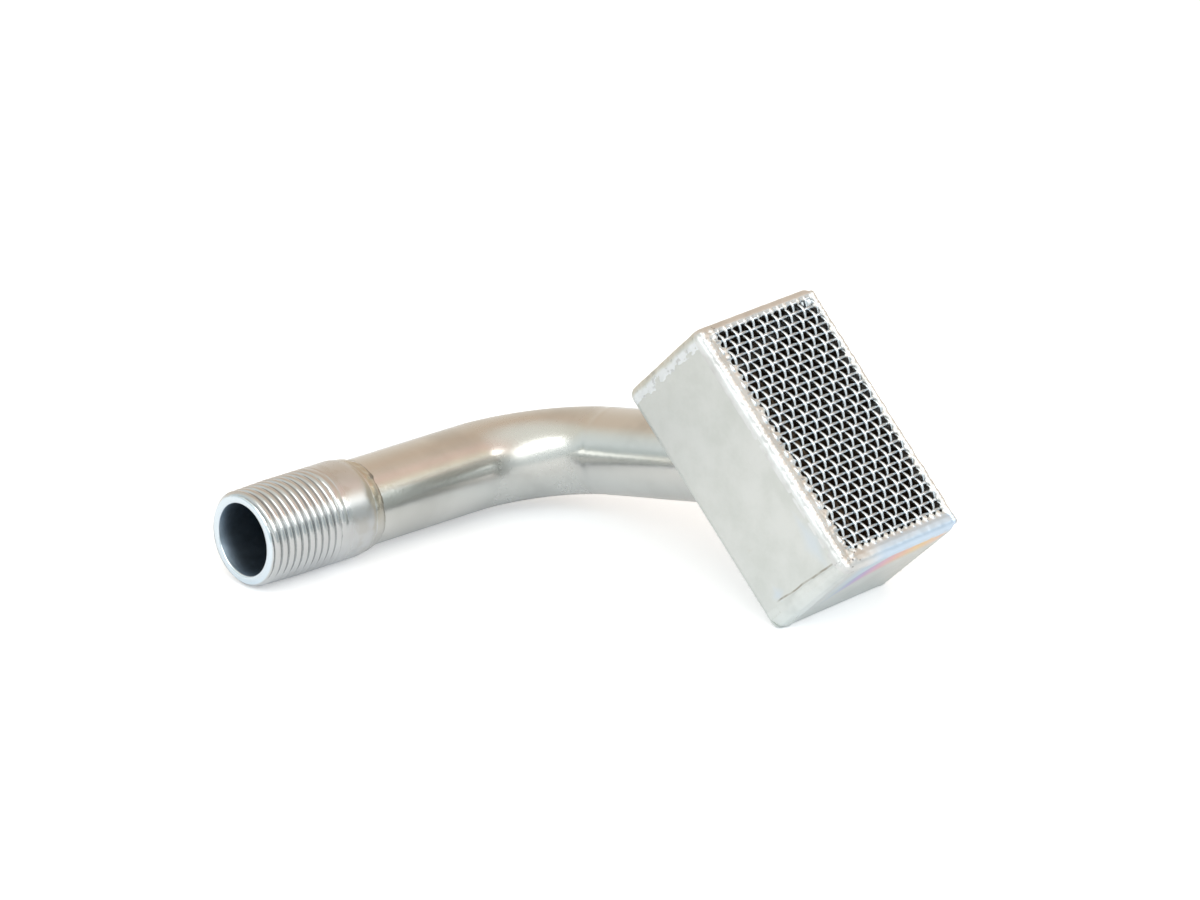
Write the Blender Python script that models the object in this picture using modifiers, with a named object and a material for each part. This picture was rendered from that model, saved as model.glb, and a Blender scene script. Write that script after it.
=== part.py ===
"""Oil pickup tube for an engine's sump, in metres with +Z up.

A threaded pipe nipple is welded to a bent steel tube. The tube ends in a strainer: a pan folded from
one sheet, welded along its four corners and closed by a screen of woven wire.
It lies as it comes to rest: on the nipple, and on the lower edge of the strainer's back.
The thread's axis runs along +X. The strainer is reached by turning off towards -Y.
"""
import math

import bmesh
import bpy
from mathutils import Matrix, Vector

MM = 0.001

# Bent tube: three-quarter-inch steel tube
TUBE_DIAMETER = 19.05 * MM
TUBE_WALL = 1.65 * MM
FIRST_LEG = 62.0 * MM  # from the nipple's end face to the start of the bend
BEND_RADIUS = 24.0 * MM  # of the tube's centre line
BEND_ANGLE = math.radians(85.0)
RISE_ANGLE = math.radians(13.8)  # the plane of the bend leans up from level by this
SECOND_LEG = 36.4 * MM  # from the end of the bend to the back of the strainer
TUBE_STANDOUT = 1.0 * MM  # what shows of the tube inside the strainer

# Threaded nipple: a length of half-inch pipe, 21.34 mm across, with a tapered right-hand thread
NIPPLE_LENGTH = 28.6 * MM
COLLAR_STEP = 1.145 * MM  # the pipe stands out from the tube by this
NIPPLE_WALL = 2.77 * MM
THREAD_PITCH = 25.4 / 14 * MM
THREAD_DEPTH = 1.1 * MM
THREAD_FLANK = math.radians(30)  # each side of the groove leans by this
THREAD_LENGTH = 17.0 * MM  # from the end face to where the groove starts to run out
THREAD_RUNOUT = 3.8 * MM
THREAD_LEAD_STEP = 0.31 * MM  # the thread's first crest is lower than the pipe by this
THREAD_TAPER = 1 / 16
LEAD_CHAMFER = 0.9 * MM
COLLAR_CHAMFER = 0.4 * MM

# Strainer pan, folded from sheet
PAN_LENGTH = 60.0 * MM
PAN_WIDTH = 37.0 * MM
PAN_DEPTH = 28.0 * MM  # from its back to the top of the weld round the screen
SHEET = 1.5 * MM
FOLD_INNER_RADIUS = 0.7 * MM
PAN_TILT = math.radians(43.0)  # the screen's slope from level
TUBE_ENTRY_OFFSET = 7.3 * MM  # the tube enters this far up the slope from the back's middle

# Woven screen
WIRE_DIAMETER = 0.9 * MM
LONG_WIRE_COUNT = 9
CROSS_WIRE_COUNT = 14
CROSSING_OVERLAP = 0.16 * MM  # how far two wires press into each other where they cross
SCREEN_RECESS = 0.2 * MM  # the wires' tops lie this far under the top of the weld

# Welds
SCREEN_WELD_HEIGHT = 1.6 * MM
SCREEN_WELD_SIDE_WIDTH = 3.15 * MM
SCREEN_WELD_END_WIDTH = 4.3 * MM
SCREEN_WELD_ROUND = 1.2 * MM
SCREEN_WELD_SLOPE = 0.6 * MM  # its inner side leans out by this at the top
CORNER_NOTCH = 2.3 * MM  # the walls stop this far from each corner, and the weld fills it
CORNER_ROUND = 1.8 * MM
NIPPLE_WELD_LENGTH = 3.0 * MM
NIPPLE_WELD_STEPS = 4
TUBE_WELD_DIAMETER = 2.8 * MM

# Gap left between pieces that touch
CLEARANCE = 0.3 * MM

# Points nearer than this are one point
MERGE_DISTANCE = 0.001 * MM

# How finely round shapes are divided
THREAD_STEPS = 24  # in each turn
NIPPLE_SEGMENTS = 40
TUBE_BEVEL_RESOLUTION = 14
BEND_STEPS = 14
FOLD_SEGMENTS = 4
WELD_RING_STEPS = 32

# Places worked out from the sizes
TUBE_RADIUS = TUBE_DIAMETER / 2
PIPE_RADIUS = TUBE_RADIUS + COLLAR_STEP
NIPPLE_BORE_RADIUS = PIPE_RADIUS - NIPPLE_WALL
AXIS_HEIGHT = PIPE_RADIUS
FOLD_OUTER_RADIUS = FOLD_INNER_RADIUS + SHEET
BACK_Z = -PAN_DEPTH / 2
RIM_Z = PAN_DEPTH / 2 - SCREEN_WELD_HEIGHT - CLEARANCE
SCREEN_LENGTH = PAN_LENGTH - 2 * SCREEN_WELD_END_WIDTH - 2 * CLEARANCE
SCREEN_WIDTH = PAN_WIDTH - 2 * SCREEN_WELD_SIDE_WIDTH - 2 * CLEARANCE

FIRST_DIRECTION = Vector((1, 0, 0))
INWARD = Vector((0, -math.cos(RISE_ANGLE), math.sin(RISE_ANGLE)))
SECOND_DIRECTION = FIRST_DIRECTION * math.cos(BEND_ANGLE) + INWARD * math.sin(BEND_ANGLE)
BEND_START = Vector((FIRST_LEG, 0, AXIS_HEIGHT))


def bend_point(angle):
    """A point of the tube's centre line in the bend, at this angle from the bend's start."""
    along = FIRST_DIRECTION * BEND_RADIUS * math.sin(angle)
    across = INWARD * BEND_RADIUS * (1 - math.cos(angle))
    return BEND_START + along + across


BEND_END = bend_point(BEND_ANGLE)
TUBE_ENTRY = BEND_END + SECOND_DIRECTION * SECOND_LEG

# The strainer is level across its width, and its width is square to the second leg
PAN_YAW = math.atan2(SECOND_DIRECTION.x, -SECOND_DIRECTION.y)
PAN_TURN = Matrix.Rotation(PAN_YAW, 4, "Z") @ Matrix.Rotation(PAN_TILT, 4, "X")
PAN_CENTRE = TUBE_ENTRY - PAN_TURN @ Vector((0, TUBE_ENTRY_OFFSET, BACK_Z))


def clear_scene():
    for item in list(bpy.data.objects):
        bpy.data.objects.remove(item, do_unlink=True)


def make_collection(name):
    collection = bpy.data.collections.new(name)
    bpy.context.scene.collection.children.link(collection)
    return collection


def make_material(name, colour, roughness, metallic):
    material = bpy.data.materials.new(name)
    material.use_nodes = True
    shader = material.node_tree.nodes["Principled BSDF"]
    shader.inputs["Base Color"].default_value = (*colour, 1)
    shader.inputs["Roughness"].default_value = roughness
    shader.inputs["Metallic"].default_value = metallic
    material.diffuse_color = (*colour, 1)
    return material


def add_object(name, data, parent, material=None):
    """Puts an object in the part's collection, under an empty."""
    item = bpy.data.objects.new(name, data)
    parts.objects.link(item)
    item.parent = parent
    if material:
        item.data.materials.append(material)
    return item


def add_cutter(name, data, parent):
    """Puts an object in the cutters' collection, under an empty."""
    item = bpy.data.objects.new(name, data)
    cutters.objects.link(item)
    item.parent = parent
    item.hide_render = True
    item.display_type = "WIRE"
    return item


def add_frame(name, location, turn, parent=None):
    """An empty that other objects are placed by."""
    empty = bpy.data.objects.new(name, None)
    parts.objects.link(empty)
    empty.parent = parent
    empty.matrix_local = Matrix.Translation(location) @ turn
    return empty


def combine(item, other, operation, name):
    modifier = item.modifiers.new(name, "BOOLEAN")
    modifier.operation = operation
    modifier.object = other
    modifier.solver = "EXACT"


def shade(item, angle=math.radians(35)):
    item.data.shade_smooth()
    item.data.set_sharp_from_angle(angle=angle)


def turned_mesh(name, profile):
    """A closed outline of (radius, height) points, for a Screw modifier to turn about Z."""
    mesh = bpy.data.meshes.new(name)
    shape = bmesh.new()
    corners = [shape.verts.new((radius, 0, height)) for radius, height in profile]
    for first, second in zip(corners, corners[1:] + corners[:1]):
        shape.edges.new((first, second))
    shape.to_mesh(mesh)
    shape.free()
    return mesh


def turn_profile(item, segments):
    modifier = item.modifiers.new("turn", "SCREW")
    modifier.axis = "Z"
    modifier.steps = segments
    modifier.render_steps = segments
    modifier.use_merge_vertices = True
    modifier.merge_threshold = MERGE_DISTANCE
    modifier.use_smooth_shade = True


def block_mesh(name, size, centre, rounded=None, radius=0.0, segments=FOLD_SEGMENTS):
    """A box whose chosen edges are rounded; rounded is a test of an edge's middle and direction."""
    mesh = bpy.data.meshes.new(name)
    shape = bmesh.new()
    bmesh.ops.create_cube(shape, size=1.0)
    bmesh.ops.scale(shape, vec=size, verts=shape.verts)
    if rounded:
        chosen = []
        for edge in shape.edges:
            middle = (edge.verts[0].co + edge.verts[1].co) / 2
            along = (edge.verts[1].co - edge.verts[0].co).normalized()
            if rounded(middle, along):
                chosen.append(edge)
        bmesh.ops.bevel(
            shape, geom=chosen, offset=radius, segments=segments, profile=0.5, affect="EDGES",
        )
    bmesh.ops.translate(shape, vec=centre, verts=shape.verts)
    shape.to_mesh(mesh)
    shape.free()
    return mesh


def not_at_the_top(middle, along):
    """Every edge of a block except the four round its top face."""
    return abs(along.z) > 0.5 or middle.z < 0


def wire_curve(name, runs, radius, resolution, cyclic=False):
    """A curve object's data with one round-section spline for each run of points."""
    curve = bpy.data.curves.new(name, "CURVE")
    curve.dimensions = "3D"
    curve.bevel_depth = radius
    curve.bevel_resolution = resolution
    curve.use_fill_caps = not cyclic
    for run in runs:
        spline = curve.splines.new("POLY")
        spline.points.add(len(run) - 1)
        for point, place in zip(spline.points, run):
            point.co = (*place, 1)
        spline.use_cyclic_u = cyclic
    return curve


def meshed(name, curve, parent, material=None, as_cutter=False):
    """Turns curve data into a mesh object with welded caps, under the same empty."""
    guide = bpy.data.objects.new(name + "_curve", curve)
    bpy.context.scene.collection.objects.link(guide)
    guide.parent = parent
    bpy.context.view_layer.update()
    depsgraph = bpy.context.evaluated_depsgraph_get()
    mesh = bpy.data.meshes.new_from_object(guide.evaluated_get(depsgraph))
    mesh.name = name
    mesh.materials.clear()
    shape = bmesh.new()
    shape.from_mesh(mesh)
    bmesh.ops.remove_doubles(shape, verts=shape.verts, dist=MERGE_DISTANCE)
    shape.to_mesh(mesh)
    shape.free()
    item = add_cutter(name, mesh, parent) if as_cutter else add_object(name, mesh, parent, material)
    item.matrix_world = guide.matrix_world
    bpy.data.objects.remove(guide, do_unlink=True)
    return item


def thread_radius(height, in_groove):
    """The nipple's outer radius at a height above its end face, on a crest or down in the groove."""
    cone = PIPE_RADIUS - THREAD_LEAD_STEP + height * THREAD_TAPER / 2
    crest = min(PIPE_RADIUS, cone)
    run_out = min(max((height - THREAD_LENGTH) / THREAD_RUNOUT, 0), 1)
    bottom = cone - THREAD_DEPTH + (crest - cone + THREAD_DEPTH) * run_out
    chamfer = PIPE_RADIUS - THREAD_LEAD_STEP - LEAD_CHAMFER + height
    return min(bottom if in_groove else crest, chamfer)


def make_nipple():
    """The pipe nipple, with a helical groove for its thread and its end face at the thread axis's start."""
    half_groove = THREAD_DEPTH * math.tan(THREAD_FLANK)
    section = [
        (PIPE_RADIUS, 0),
        (PIPE_RADIUS, THREAD_PITCH - 2 * half_groove),
        (PIPE_RADIUS - THREAD_DEPTH, THREAD_PITCH - half_groove),
        (PIPE_RADIUS, THREAD_PITCH),
    ]
    turns_before = 2
    thread_end = THREAD_LENGTH + THREAD_RUNOUT
    turns = turns_before + math.ceil(thread_end / THREAD_PITCH)
    shape = bmesh.new()
    corners = [
        shape.verts.new((radius, 0, height - turns_before * THREAD_PITCH)) for radius, height in section
    ]
    for pair in zip(corners, corners[1:]):
        shape.edges.new(pair)
    bmesh.ops.spin(
        shape, geom=shape.verts[:] + shape.edges[:], cent=(0, 0, 0), axis=(0, 0, 1),
        dvec=(0, 0, THREAD_PITCH / THREAD_STEPS), angle=math.tau * turns, steps=THREAD_STEPS * turns,
    )
    bmesh.ops.remove_doubles(shape, verts=shape.verts, dist=MERGE_DISTANCE)
    for height, side in ((0, -1), (thread_end, 1)):
        bmesh.ops.bisect_plane(
            shape, geom=shape.verts[:] + shape.edges[:] + shape.faces[:], plane_co=(0, 0, height),
            plane_no=(0, 0, side), clear_outer=True,
        )
    bmesh.ops.remove_doubles(shape, verts=shape.verts, dist=MERGE_DISTANCE)

    # The band that the spin made is a cylinder with a groove of one depth, and here it takes its taper
    for vert in shape.verts:
        radius = vert.co.xy.length
        depth_share = (PIPE_RADIUS - radius) / THREAD_DEPTH
        crest = thread_radius(vert.co.z, False)
        wanted = crest + (thread_radius(vert.co.z, True) - crest) * depth_share
        vert.co.xy *= wanted / radius

    rim = [edge for edge in shape.edges if edge.is_boundary and edge.verts[0].co.z > thread_end / 2]
    chamfered = (PIPE_RADIUS - COLLAR_CHAMFER) / PIPE_RADIUS
    for height, scale in ((NIPPLE_LENGTH - COLLAR_CHAMFER, 1), (NIPPLE_LENGTH, chamfered)):
        made = bmesh.ops.extrude_edge_only(shape, edges=rim)["geom"]
        rim = [item for item in made if isinstance(item, bmesh.types.BMEdge)]
        for vert in {vert for edge in rim for vert in edge.verts}:
            vert.co = (vert.co.x * scale, vert.co.y * scale, height)
    bmesh.ops.holes_fill(shape, edges=[edge for edge in shape.edges if edge.is_boundary], sides=0)
    bmesh.ops.recalc_face_normals(shape, faces=shape.faces)
    mesh = bpy.data.meshes.new("threaded_nipple")
    shape.to_mesh(mesh)
    shape.free()
    item = add_object("threaded_nipple", mesh, axis_frame, zinc_nipple)

    bore = bpy.data.meshes.new("nipple_bore")
    shape = bmesh.new()
    bmesh.ops.create_cone(
        shape, cap_ends=True, segments=NIPPLE_SEGMENTS, depth=2 * NIPPLE_LENGTH,
        radius1=NIPPLE_BORE_RADIUS, radius2=NIPPLE_BORE_RADIUS,
    )
    bmesh.ops.translate(shape, vec=(0, 0, NIPPLE_LENGTH / 2), verts=shape.verts)
    shape.to_mesh(bore)
    shape.free()
    combine(item, add_cutter("nipple_bore", bore, axis_frame), "DIFFERENCE", "bore")
    shade(item)


def make_nipple_weld():
    """The fillet of weld between the end of the nipple and the tube."""
    inner = TUBE_RADIUS + CLEARANCE
    start = NIPPLE_LENGTH + CLEARANCE
    height = PIPE_RADIUS - COLLAR_CHAMFER - inner
    profile = []
    for step in range(NIPPLE_WELD_STEPS + 1):
        angle = math.pi / 2 * step / NIPPLE_WELD_STEPS
        profile.append((inner + height * math.sin(angle), start + NIPPLE_WELD_LENGTH * math.cos(angle)))
    profile.append((inner, start))
    mesh = turned_mesh("nipple_weld", profile)
    turn_profile(add_object("nipple_weld", mesh, axis_frame, weld_steel), NIPPLE_SEGMENTS)


def make_tube():
    """The bent tube, from the nipple to just inside the strainer's back."""
    run = [Vector((NIPPLE_LENGTH + CLEARANCE, 0, AXIS_HEIGHT))]
    run += [bend_point(BEND_ANGLE * step / BEND_STEPS) for step in range(BEND_STEPS + 1)]
    run.append(TUBE_ENTRY + SECOND_DIRECTION * TUBE_DIAMETER)
    curve = wire_curve("pickup_tube", [run], TUBE_RADIUS, TUBE_BEVEL_RESOLUTION)
    curve.use_fill_caps = False
    item = meshed("pickup_tube", curve, root, zinc_tube)
    wall = item.modifiers.new("wall", "SOLIDIFY")
    wall.thickness = TUBE_WALL
    wall.offset = -1
    wall.use_even_offset = True

    trim_length = 2 * TUBE_DIAMETER
    trim_start = BACK_Z + SHEET + TUBE_STANDOUT
    size = (2 * TUBE_DIAMETER, 3 * TUBE_DIAMETER, trim_length)
    centre = (0, TUBE_ENTRY_OFFSET, trim_start + trim_length / 2)
    trim = add_cutter("tube_end_trim", block_mesh("tube_end_trim", size, centre), pan_frame)
    combine(item, trim, "DIFFERENCE", "end_trim")
    shade(item)


def make_pan():
    """The folded pan: a back and four walls, open in front and notched at its corners."""
    height = RIM_Z - BACK_Z
    middle = (RIM_Z + BACK_Z) / 2
    outside = (PAN_WIDTH, PAN_LENGTH, height)
    outer_mesh = block_mesh("strainer_pan", outside, (0, 0, middle), not_at_the_top, FOLD_OUTER_RADIUS)
    item = add_object("strainer_pan", outer_mesh, pan_frame, zinc_sheet)

    inside = (PAN_WIDTH - 2 * SHEET, PAN_LENGTH - 2 * SHEET, height)
    hollow_mesh = block_mesh(
        "pan_hollow", inside, (0, 0, middle + SHEET), not_at_the_top, FOLD_INNER_RADIUS, 2,
    )
    combine(item, add_cutter("pan_hollow", hollow_mesh, pan_frame), "DIFFERENCE", "hollow")

    notch_bottom = BACK_Z + FOLD_OUTER_RADIUS
    for side, end in CORNERS:
        centre = (side * PAN_WIDTH / 2, end * PAN_LENGTH / 2, (notch_bottom + PAN_DEPTH / 2) / 2)
        size = (2 * CORNER_NOTCH, 2 * CORNER_NOTCH, PAN_DEPTH / 2 - notch_bottom)
        name = f"corner_notch_{corner_name(side, end)}"
        combine(item, add_cutter(name, block_mesh(name, size, centre), pan_frame), "DIFFERENCE", name)

    hole = bpy.data.meshes.new("tube_hole")
    shape = bmesh.new()
    bmesh.ops.create_cone(
        shape, cap_ends=True, segments=NIPPLE_SEGMENTS, depth=2 * TUBE_DIAMETER,
        radius1=TUBE_RADIUS + CLEARANCE, radius2=TUBE_RADIUS + CLEARANCE,
    )
    shape.to_mesh(hole)
    shape.free()
    cutter = add_cutter("tube_hole", hole, root)
    aim = SECOND_DIRECTION.to_track_quat("Z", "Y").to_matrix().to_4x4()
    cutter.matrix_local = Matrix.Translation(TUBE_ENTRY) @ aim
    combine(item, cutter, "DIFFERENCE", "tube_hole")
    shade(item)


CORNERS = [(side, end) for end in (1, -1) for side in (-1, 1)]


def corner_name(side, end):
    return ("upper" if end > 0 else "lower") + ("_left" if side < 0 else "_right")


def make_corner_welds():
    """The four seams that close the pan's corners, each rounded on its outer side."""
    bottom = BACK_Z + FOLD_OUTER_RADIUS + CLEARANCE
    height = RIM_Z - bottom
    width = CORNER_NOTCH - CLEARANCE
    for side, end in CORNERS:
        def outer_edge(middle, along, side=side, end=end):
            return abs(along.z) > 0.5 and middle.x * side > 0 and middle.y * end > 0

        centre = (
            side * (PAN_WIDTH - width) / 2, end * (PAN_LENGTH - width) / 2, bottom + height / 2,
        )
        name = f"corner_weld_{corner_name(side, end)}"
        mesh = block_mesh(name, (width, width, height), centre, outer_edge, CORNER_ROUND)
        shade(add_object(name, mesh, pan_frame, weld_steel))


def make_screen_weld():
    """The weld bead that runs round the screen, on the rim of the pan."""
    centre_z = PAN_DEPTH / 2 - SCREEN_WELD_HEIGHT / 2
    mesh = bpy.data.meshes.new("screen_weld")
    shape = bmesh.new()
    bmesh.ops.create_cube(shape, size=1.0)
    bmesh.ops.scale(shape, vec=(PAN_WIDTH, PAN_LENGTH, SCREEN_WELD_HEIGHT), verts=shape.verts)
    posts = []
    for edge in shape.edges:
        if abs(edge.verts[0].co.z - edge.verts[1].co.z) > SCREEN_WELD_HEIGHT / 2:
            posts.append(edge)
    bmesh.ops.bevel(
        shape, geom=posts, offset=CORNER_ROUND, segments=FOLD_SEGMENTS, profile=0.5, affect="EDGES",
    )
    top = [edge for edge in shape.edges if min(vert.co.z for vert in edge.verts) > 0]
    bmesh.ops.bevel(
        shape, geom=top, offset=SCREEN_WELD_ROUND, segments=3, profile=0.5, affect="EDGES",
    )
    bmesh.ops.translate(shape, vec=(0, 0, centre_z), verts=shape.verts)
    shape.to_mesh(mesh)
    shape.free()
    item = add_object("screen_weld", mesh, pan_frame, weld_steel)

    window = bpy.data.meshes.new("screen_window")
    shape = bmesh.new()
    bmesh.ops.create_cube(shape, size=1.0)
    opening = (PAN_WIDTH - 2 * SCREEN_WELD_SIDE_WIDTH, PAN_LENGTH - 2 * SCREEN_WELD_END_WIDTH)
    bmesh.ops.scale(shape, vec=(*opening, 2 * SCREEN_WELD_HEIGHT), verts=shape.verts)
    for vert in shape.verts:
        if vert.co.z > 0:
            vert.co.x += math.copysign(2 * SCREEN_WELD_SLOPE, vert.co.x)
            vert.co.y += math.copysign(2 * SCREEN_WELD_SLOPE, vert.co.y)
    bmesh.ops.translate(shape, vec=(0, 0, centre_z + SCREEN_WELD_HEIGHT / 2), verts=shape.verts)
    shape.to_mesh(window)
    shape.free()
    combine(item, add_cutter("screen_window", window, pan_frame), "DIFFERENCE", "window")
    shade(item)


def spread(count, width):
    """Evenly spaced places from one side of a width to the other, for wires that lie within it."""
    reach = (width - WIRE_DIAMETER) / 2
    return [reach * (2 * index / (count - 1) - 1) for index in range(count)]


def make_screen():
    """A plain weave: each wire goes over one that it crosses and under the next."""
    crimp = (WIRE_DIAMETER - CROSSING_OVERLAP) / 2
    level = PAN_DEPTH / 2 - SCREEN_RECESS - crimp - WIRE_DIAMETER / 2
    across = spread(LONG_WIRE_COUNT, SCREEN_WIDTH)
    along = spread(CROSS_WIRE_COUNT, SCREEN_LENGTH)

    def height(column, row):
        return crimp if (column + row) % 2 else -crimp

    long_runs = []
    for column, x in enumerate(across):
        run = [Vector((x, y, level + height(column, row))) for row, y in enumerate(along)]
        run.insert(0, Vector((x, -SCREEN_LENGTH / 2, run[0].z)))
        run.append(Vector((x, SCREEN_LENGTH / 2, run[-1].z)))
        long_runs.append(run)
    cross_runs = []
    for row, y in enumerate(along):
        run = [Vector((x, y, level - height(column, row))) for column, x in enumerate(across)]
        run.insert(0, Vector((-SCREEN_WIDTH / 2, y, run[0].z)))
        run.append(Vector((SCREEN_WIDTH / 2, y, run[-1].z)))
        cross_runs.append(run)

    radius = WIRE_DIAMETER / 2
    long_wires = wire_curve("long_wires", long_runs, radius, 1)
    cross_wires = wire_curve("cross_wires", cross_runs, radius, 1)
    item = meshed("mesh_screen", long_wires, pan_frame, wire_steel)
    combine(item, meshed("cross_wires", cross_wires, pan_frame, as_cutter=True), "UNION", "cross_wires")
    shade(item, math.radians(70))


def make_tube_weld():
    """The bead round the tube on the strainer's back, as far from the tube as from the sheet."""
    bead_radius = TUBE_WELD_DIAMETER / 2
    ring_radius = TUBE_RADIUS + CLEARANCE + bead_radius
    normal = PAN_TURN.to_3x3() @ Vector((0, 0, 1))
    plane_point = TUBE_ENTRY - normal * (bead_radius + CLEARANCE)
    side = SECOND_DIRECTION.cross(normal).normalized()
    rise = side.cross(SECOND_DIRECTION)
    ring = []
    for step in range(WELD_RING_STEPS):
        angle = math.tau * step / WELD_RING_STEPS
        spoke = (side * math.cos(angle) + rise * math.sin(angle)) * ring_radius
        slide = (plane_point - TUBE_ENTRY - spoke).dot(normal) / SECOND_DIRECTION.dot(normal)
        ring.append(TUBE_ENTRY + spoke + SECOND_DIRECTION * slide)
    bead = wire_curve("tube_weld", [ring], bead_radius, 2, cyclic=True)
    shade(meshed("tube_weld", bead, root, weld_steel))


def stand_on_origin():
    """Moves the whole part so that the origin is under the middle of its box, at its lowest point."""
    bpy.context.view_layer.update()
    depsgraph = bpy.context.evaluated_depsgraph_get()
    corners = []
    for item in parts.objects:
        if item.type == "MESH":
            solid = item.evaluated_get(depsgraph)
            corners += [solid.matrix_world @ vert.co for vert in solid.data.vertices]
    low = Vector([min(corner[axis] for corner in corners) for axis in range(3)])
    high = Vector([max(corner[axis] for corner in corners) for axis in range(3)])
    root.location = (-(low.x + high.x) / 2, -(low.y + high.y) / 2, -low.z)
    bpy.context.view_layer.update()


clear_scene()
parts = make_collection("oil_pickup_tube")
cutters = make_collection("cutters")
zinc_nipple = make_material("zinc_nipple", (0.60, 0.61, 0.60), 0.30, 1.0)
zinc_tube = make_material("zinc_tube", (0.60, 0.58, 0.54), 0.28, 1.0)
zinc_sheet = make_material("zinc_sheet", (0.62, 0.64, 0.60), 0.42, 1.0)
wire_steel = make_material("wire_steel", (0.66, 0.67, 0.67), 0.30, 1.0)
weld_steel = make_material("weld_steel", (0.72, 0.73, 0.73), 0.35, 1.0)

root = add_frame("pickup_frame", Vector((0, 0, 0)), Matrix.Identity(4))
axis_turn = Matrix.Rotation(math.pi / 2, 4, "Y")
axis_frame = add_frame("thread_axis", Vector((0, 0, AXIS_HEIGHT)), axis_turn, root)
pan_frame = add_frame("strainer_frame", PAN_CENTRE, PAN_TURN, root)
bpy.context.view_layer.update()

make_nipple()
make_nipple_weld()
make_tube()
make_pan()
make_corner_welds()
make_screen()
make_screen_weld()
make_tube_weld()
stand_on_origin()
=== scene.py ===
# %% [markdown]
# An oil pickup tube, dressed round its solids.
#
# The real object is one welded assembly of zinc-plated steel: a threaded pipe nipple, a bent tube and a
# strainer box with a woven wire screen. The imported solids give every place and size. Each piece below stands
# for one of them and adds what a solid leaves out: the thread's grooves, the full weave, the welds' ripples.

# %% The fixed frame
import math
import random

import bmesh
import bpy
from mathutils import Matrix, Vector, noise


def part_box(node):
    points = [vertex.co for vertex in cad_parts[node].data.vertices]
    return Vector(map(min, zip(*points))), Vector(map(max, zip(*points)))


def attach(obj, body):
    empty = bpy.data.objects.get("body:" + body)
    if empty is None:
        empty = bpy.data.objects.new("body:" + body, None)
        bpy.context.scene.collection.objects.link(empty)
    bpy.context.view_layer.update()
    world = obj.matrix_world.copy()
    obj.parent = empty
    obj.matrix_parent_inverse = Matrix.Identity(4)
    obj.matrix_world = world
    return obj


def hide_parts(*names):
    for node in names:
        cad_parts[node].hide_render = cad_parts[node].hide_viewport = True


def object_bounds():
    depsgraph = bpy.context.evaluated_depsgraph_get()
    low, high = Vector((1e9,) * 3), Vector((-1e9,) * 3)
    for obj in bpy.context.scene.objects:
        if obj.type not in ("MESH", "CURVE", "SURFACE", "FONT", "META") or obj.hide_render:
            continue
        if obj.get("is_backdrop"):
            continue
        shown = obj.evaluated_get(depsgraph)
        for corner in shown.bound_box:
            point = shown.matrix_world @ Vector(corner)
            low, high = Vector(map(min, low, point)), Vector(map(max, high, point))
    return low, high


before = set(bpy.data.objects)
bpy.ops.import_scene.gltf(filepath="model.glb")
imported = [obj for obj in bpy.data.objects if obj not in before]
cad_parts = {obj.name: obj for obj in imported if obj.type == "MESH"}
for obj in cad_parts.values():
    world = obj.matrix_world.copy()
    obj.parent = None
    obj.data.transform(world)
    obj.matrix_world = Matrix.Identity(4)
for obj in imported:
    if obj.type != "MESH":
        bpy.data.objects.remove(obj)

cad_low, cad_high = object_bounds()
print("solids:", sorted(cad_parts))

# %% [markdown]
# Where the nipple and the tube are. The nipple is turned about its thread's axis, so its box gives the axis
# and the pipe's radius. The rest follows from the centre of the nipple's end face and from the sizes that the
# solids were built with: the tube goes straight on, bends, and rises a little towards the strainer.

# %% Places of the nipple and the tube
MM = 0.001
nipple_low, nipple_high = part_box("threaded_nipple")
PIPE_RADIUS = (nipple_high.z - nipple_low.z) / 2
FLOOR_MARK = Vector((nipple_low.x, (nipple_low.y + nipple_high.y) / 2, 0))
END_FACE = FLOOR_MARK + Vector((0, 0, (nipple_low.z + nipple_high.z) / 2))

NIPPLE_LENGTH = 28.6 * MM
NIPPLE_BORE_RADIUS = 7.9 * MM
TUBE_RADIUS = 9.525 * MM
TUBE_WALL = 1.65 * MM
FIRST_LEG = 62.0 * MM
BEND_RADIUS = 24.0 * MM
BEND_ANGLE = math.radians(85.0)
RISE_ANGLE = math.radians(13.8)
SECOND_LEG = 36.4 * MM

ALONG = Vector((1, 0, 0))
UPRIGHT = Vector((0, 0, 1))
INWARD = Vector((0, -math.cos(RISE_ANGLE), math.sin(RISE_ANGLE)))
SECOND_DIRECTION = ALONG * math.cos(BEND_ANGLE) + INWARD * math.sin(BEND_ANGLE)
BEND_START = END_FACE + ALONG * FIRST_LEG
BEND_CENTRE = BEND_START + INWARD * BEND_RADIUS
BEND_END = BEND_START + ALONG * BEND_RADIUS * math.sin(BEND_ANGLE)
BEND_END += INWARD * BEND_RADIUS * (1 - math.cos(BEND_ANGLE))
TUBE_ENTRY = BEND_END + SECOND_DIRECTION * SECOND_LEG
print("the tube enters the strainer at", [round(v / MM, 2) for v in TUBE_ENTRY])

# %% [markdown]
# Where the strainer's pan is. The tube enters its back off the middle and at a slant. PAN_PLACE takes the
# pan's own frame, with X across, Y uphill and Z out through the screen, to its place in the scene. The solid
# bead has to lie where these sizes put it, so the distance between the two is printed.

# %% Place of the strainer's pan
PAN_LENGTH = 60.0 * MM
PAN_WIDTH = 37.0 * MM
PAN_DEPTH = 28.0 * MM
SHEET = 1.5 * MM
PAN_TILT = math.radians(43.0)
TUBE_ENTRY_OFFSET = 7.3 * MM
BACK_Z = -PAN_DEPTH / 2
RIM_Z = 12.1 * MM
HALF_BEAD = 0.8 * MM

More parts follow.
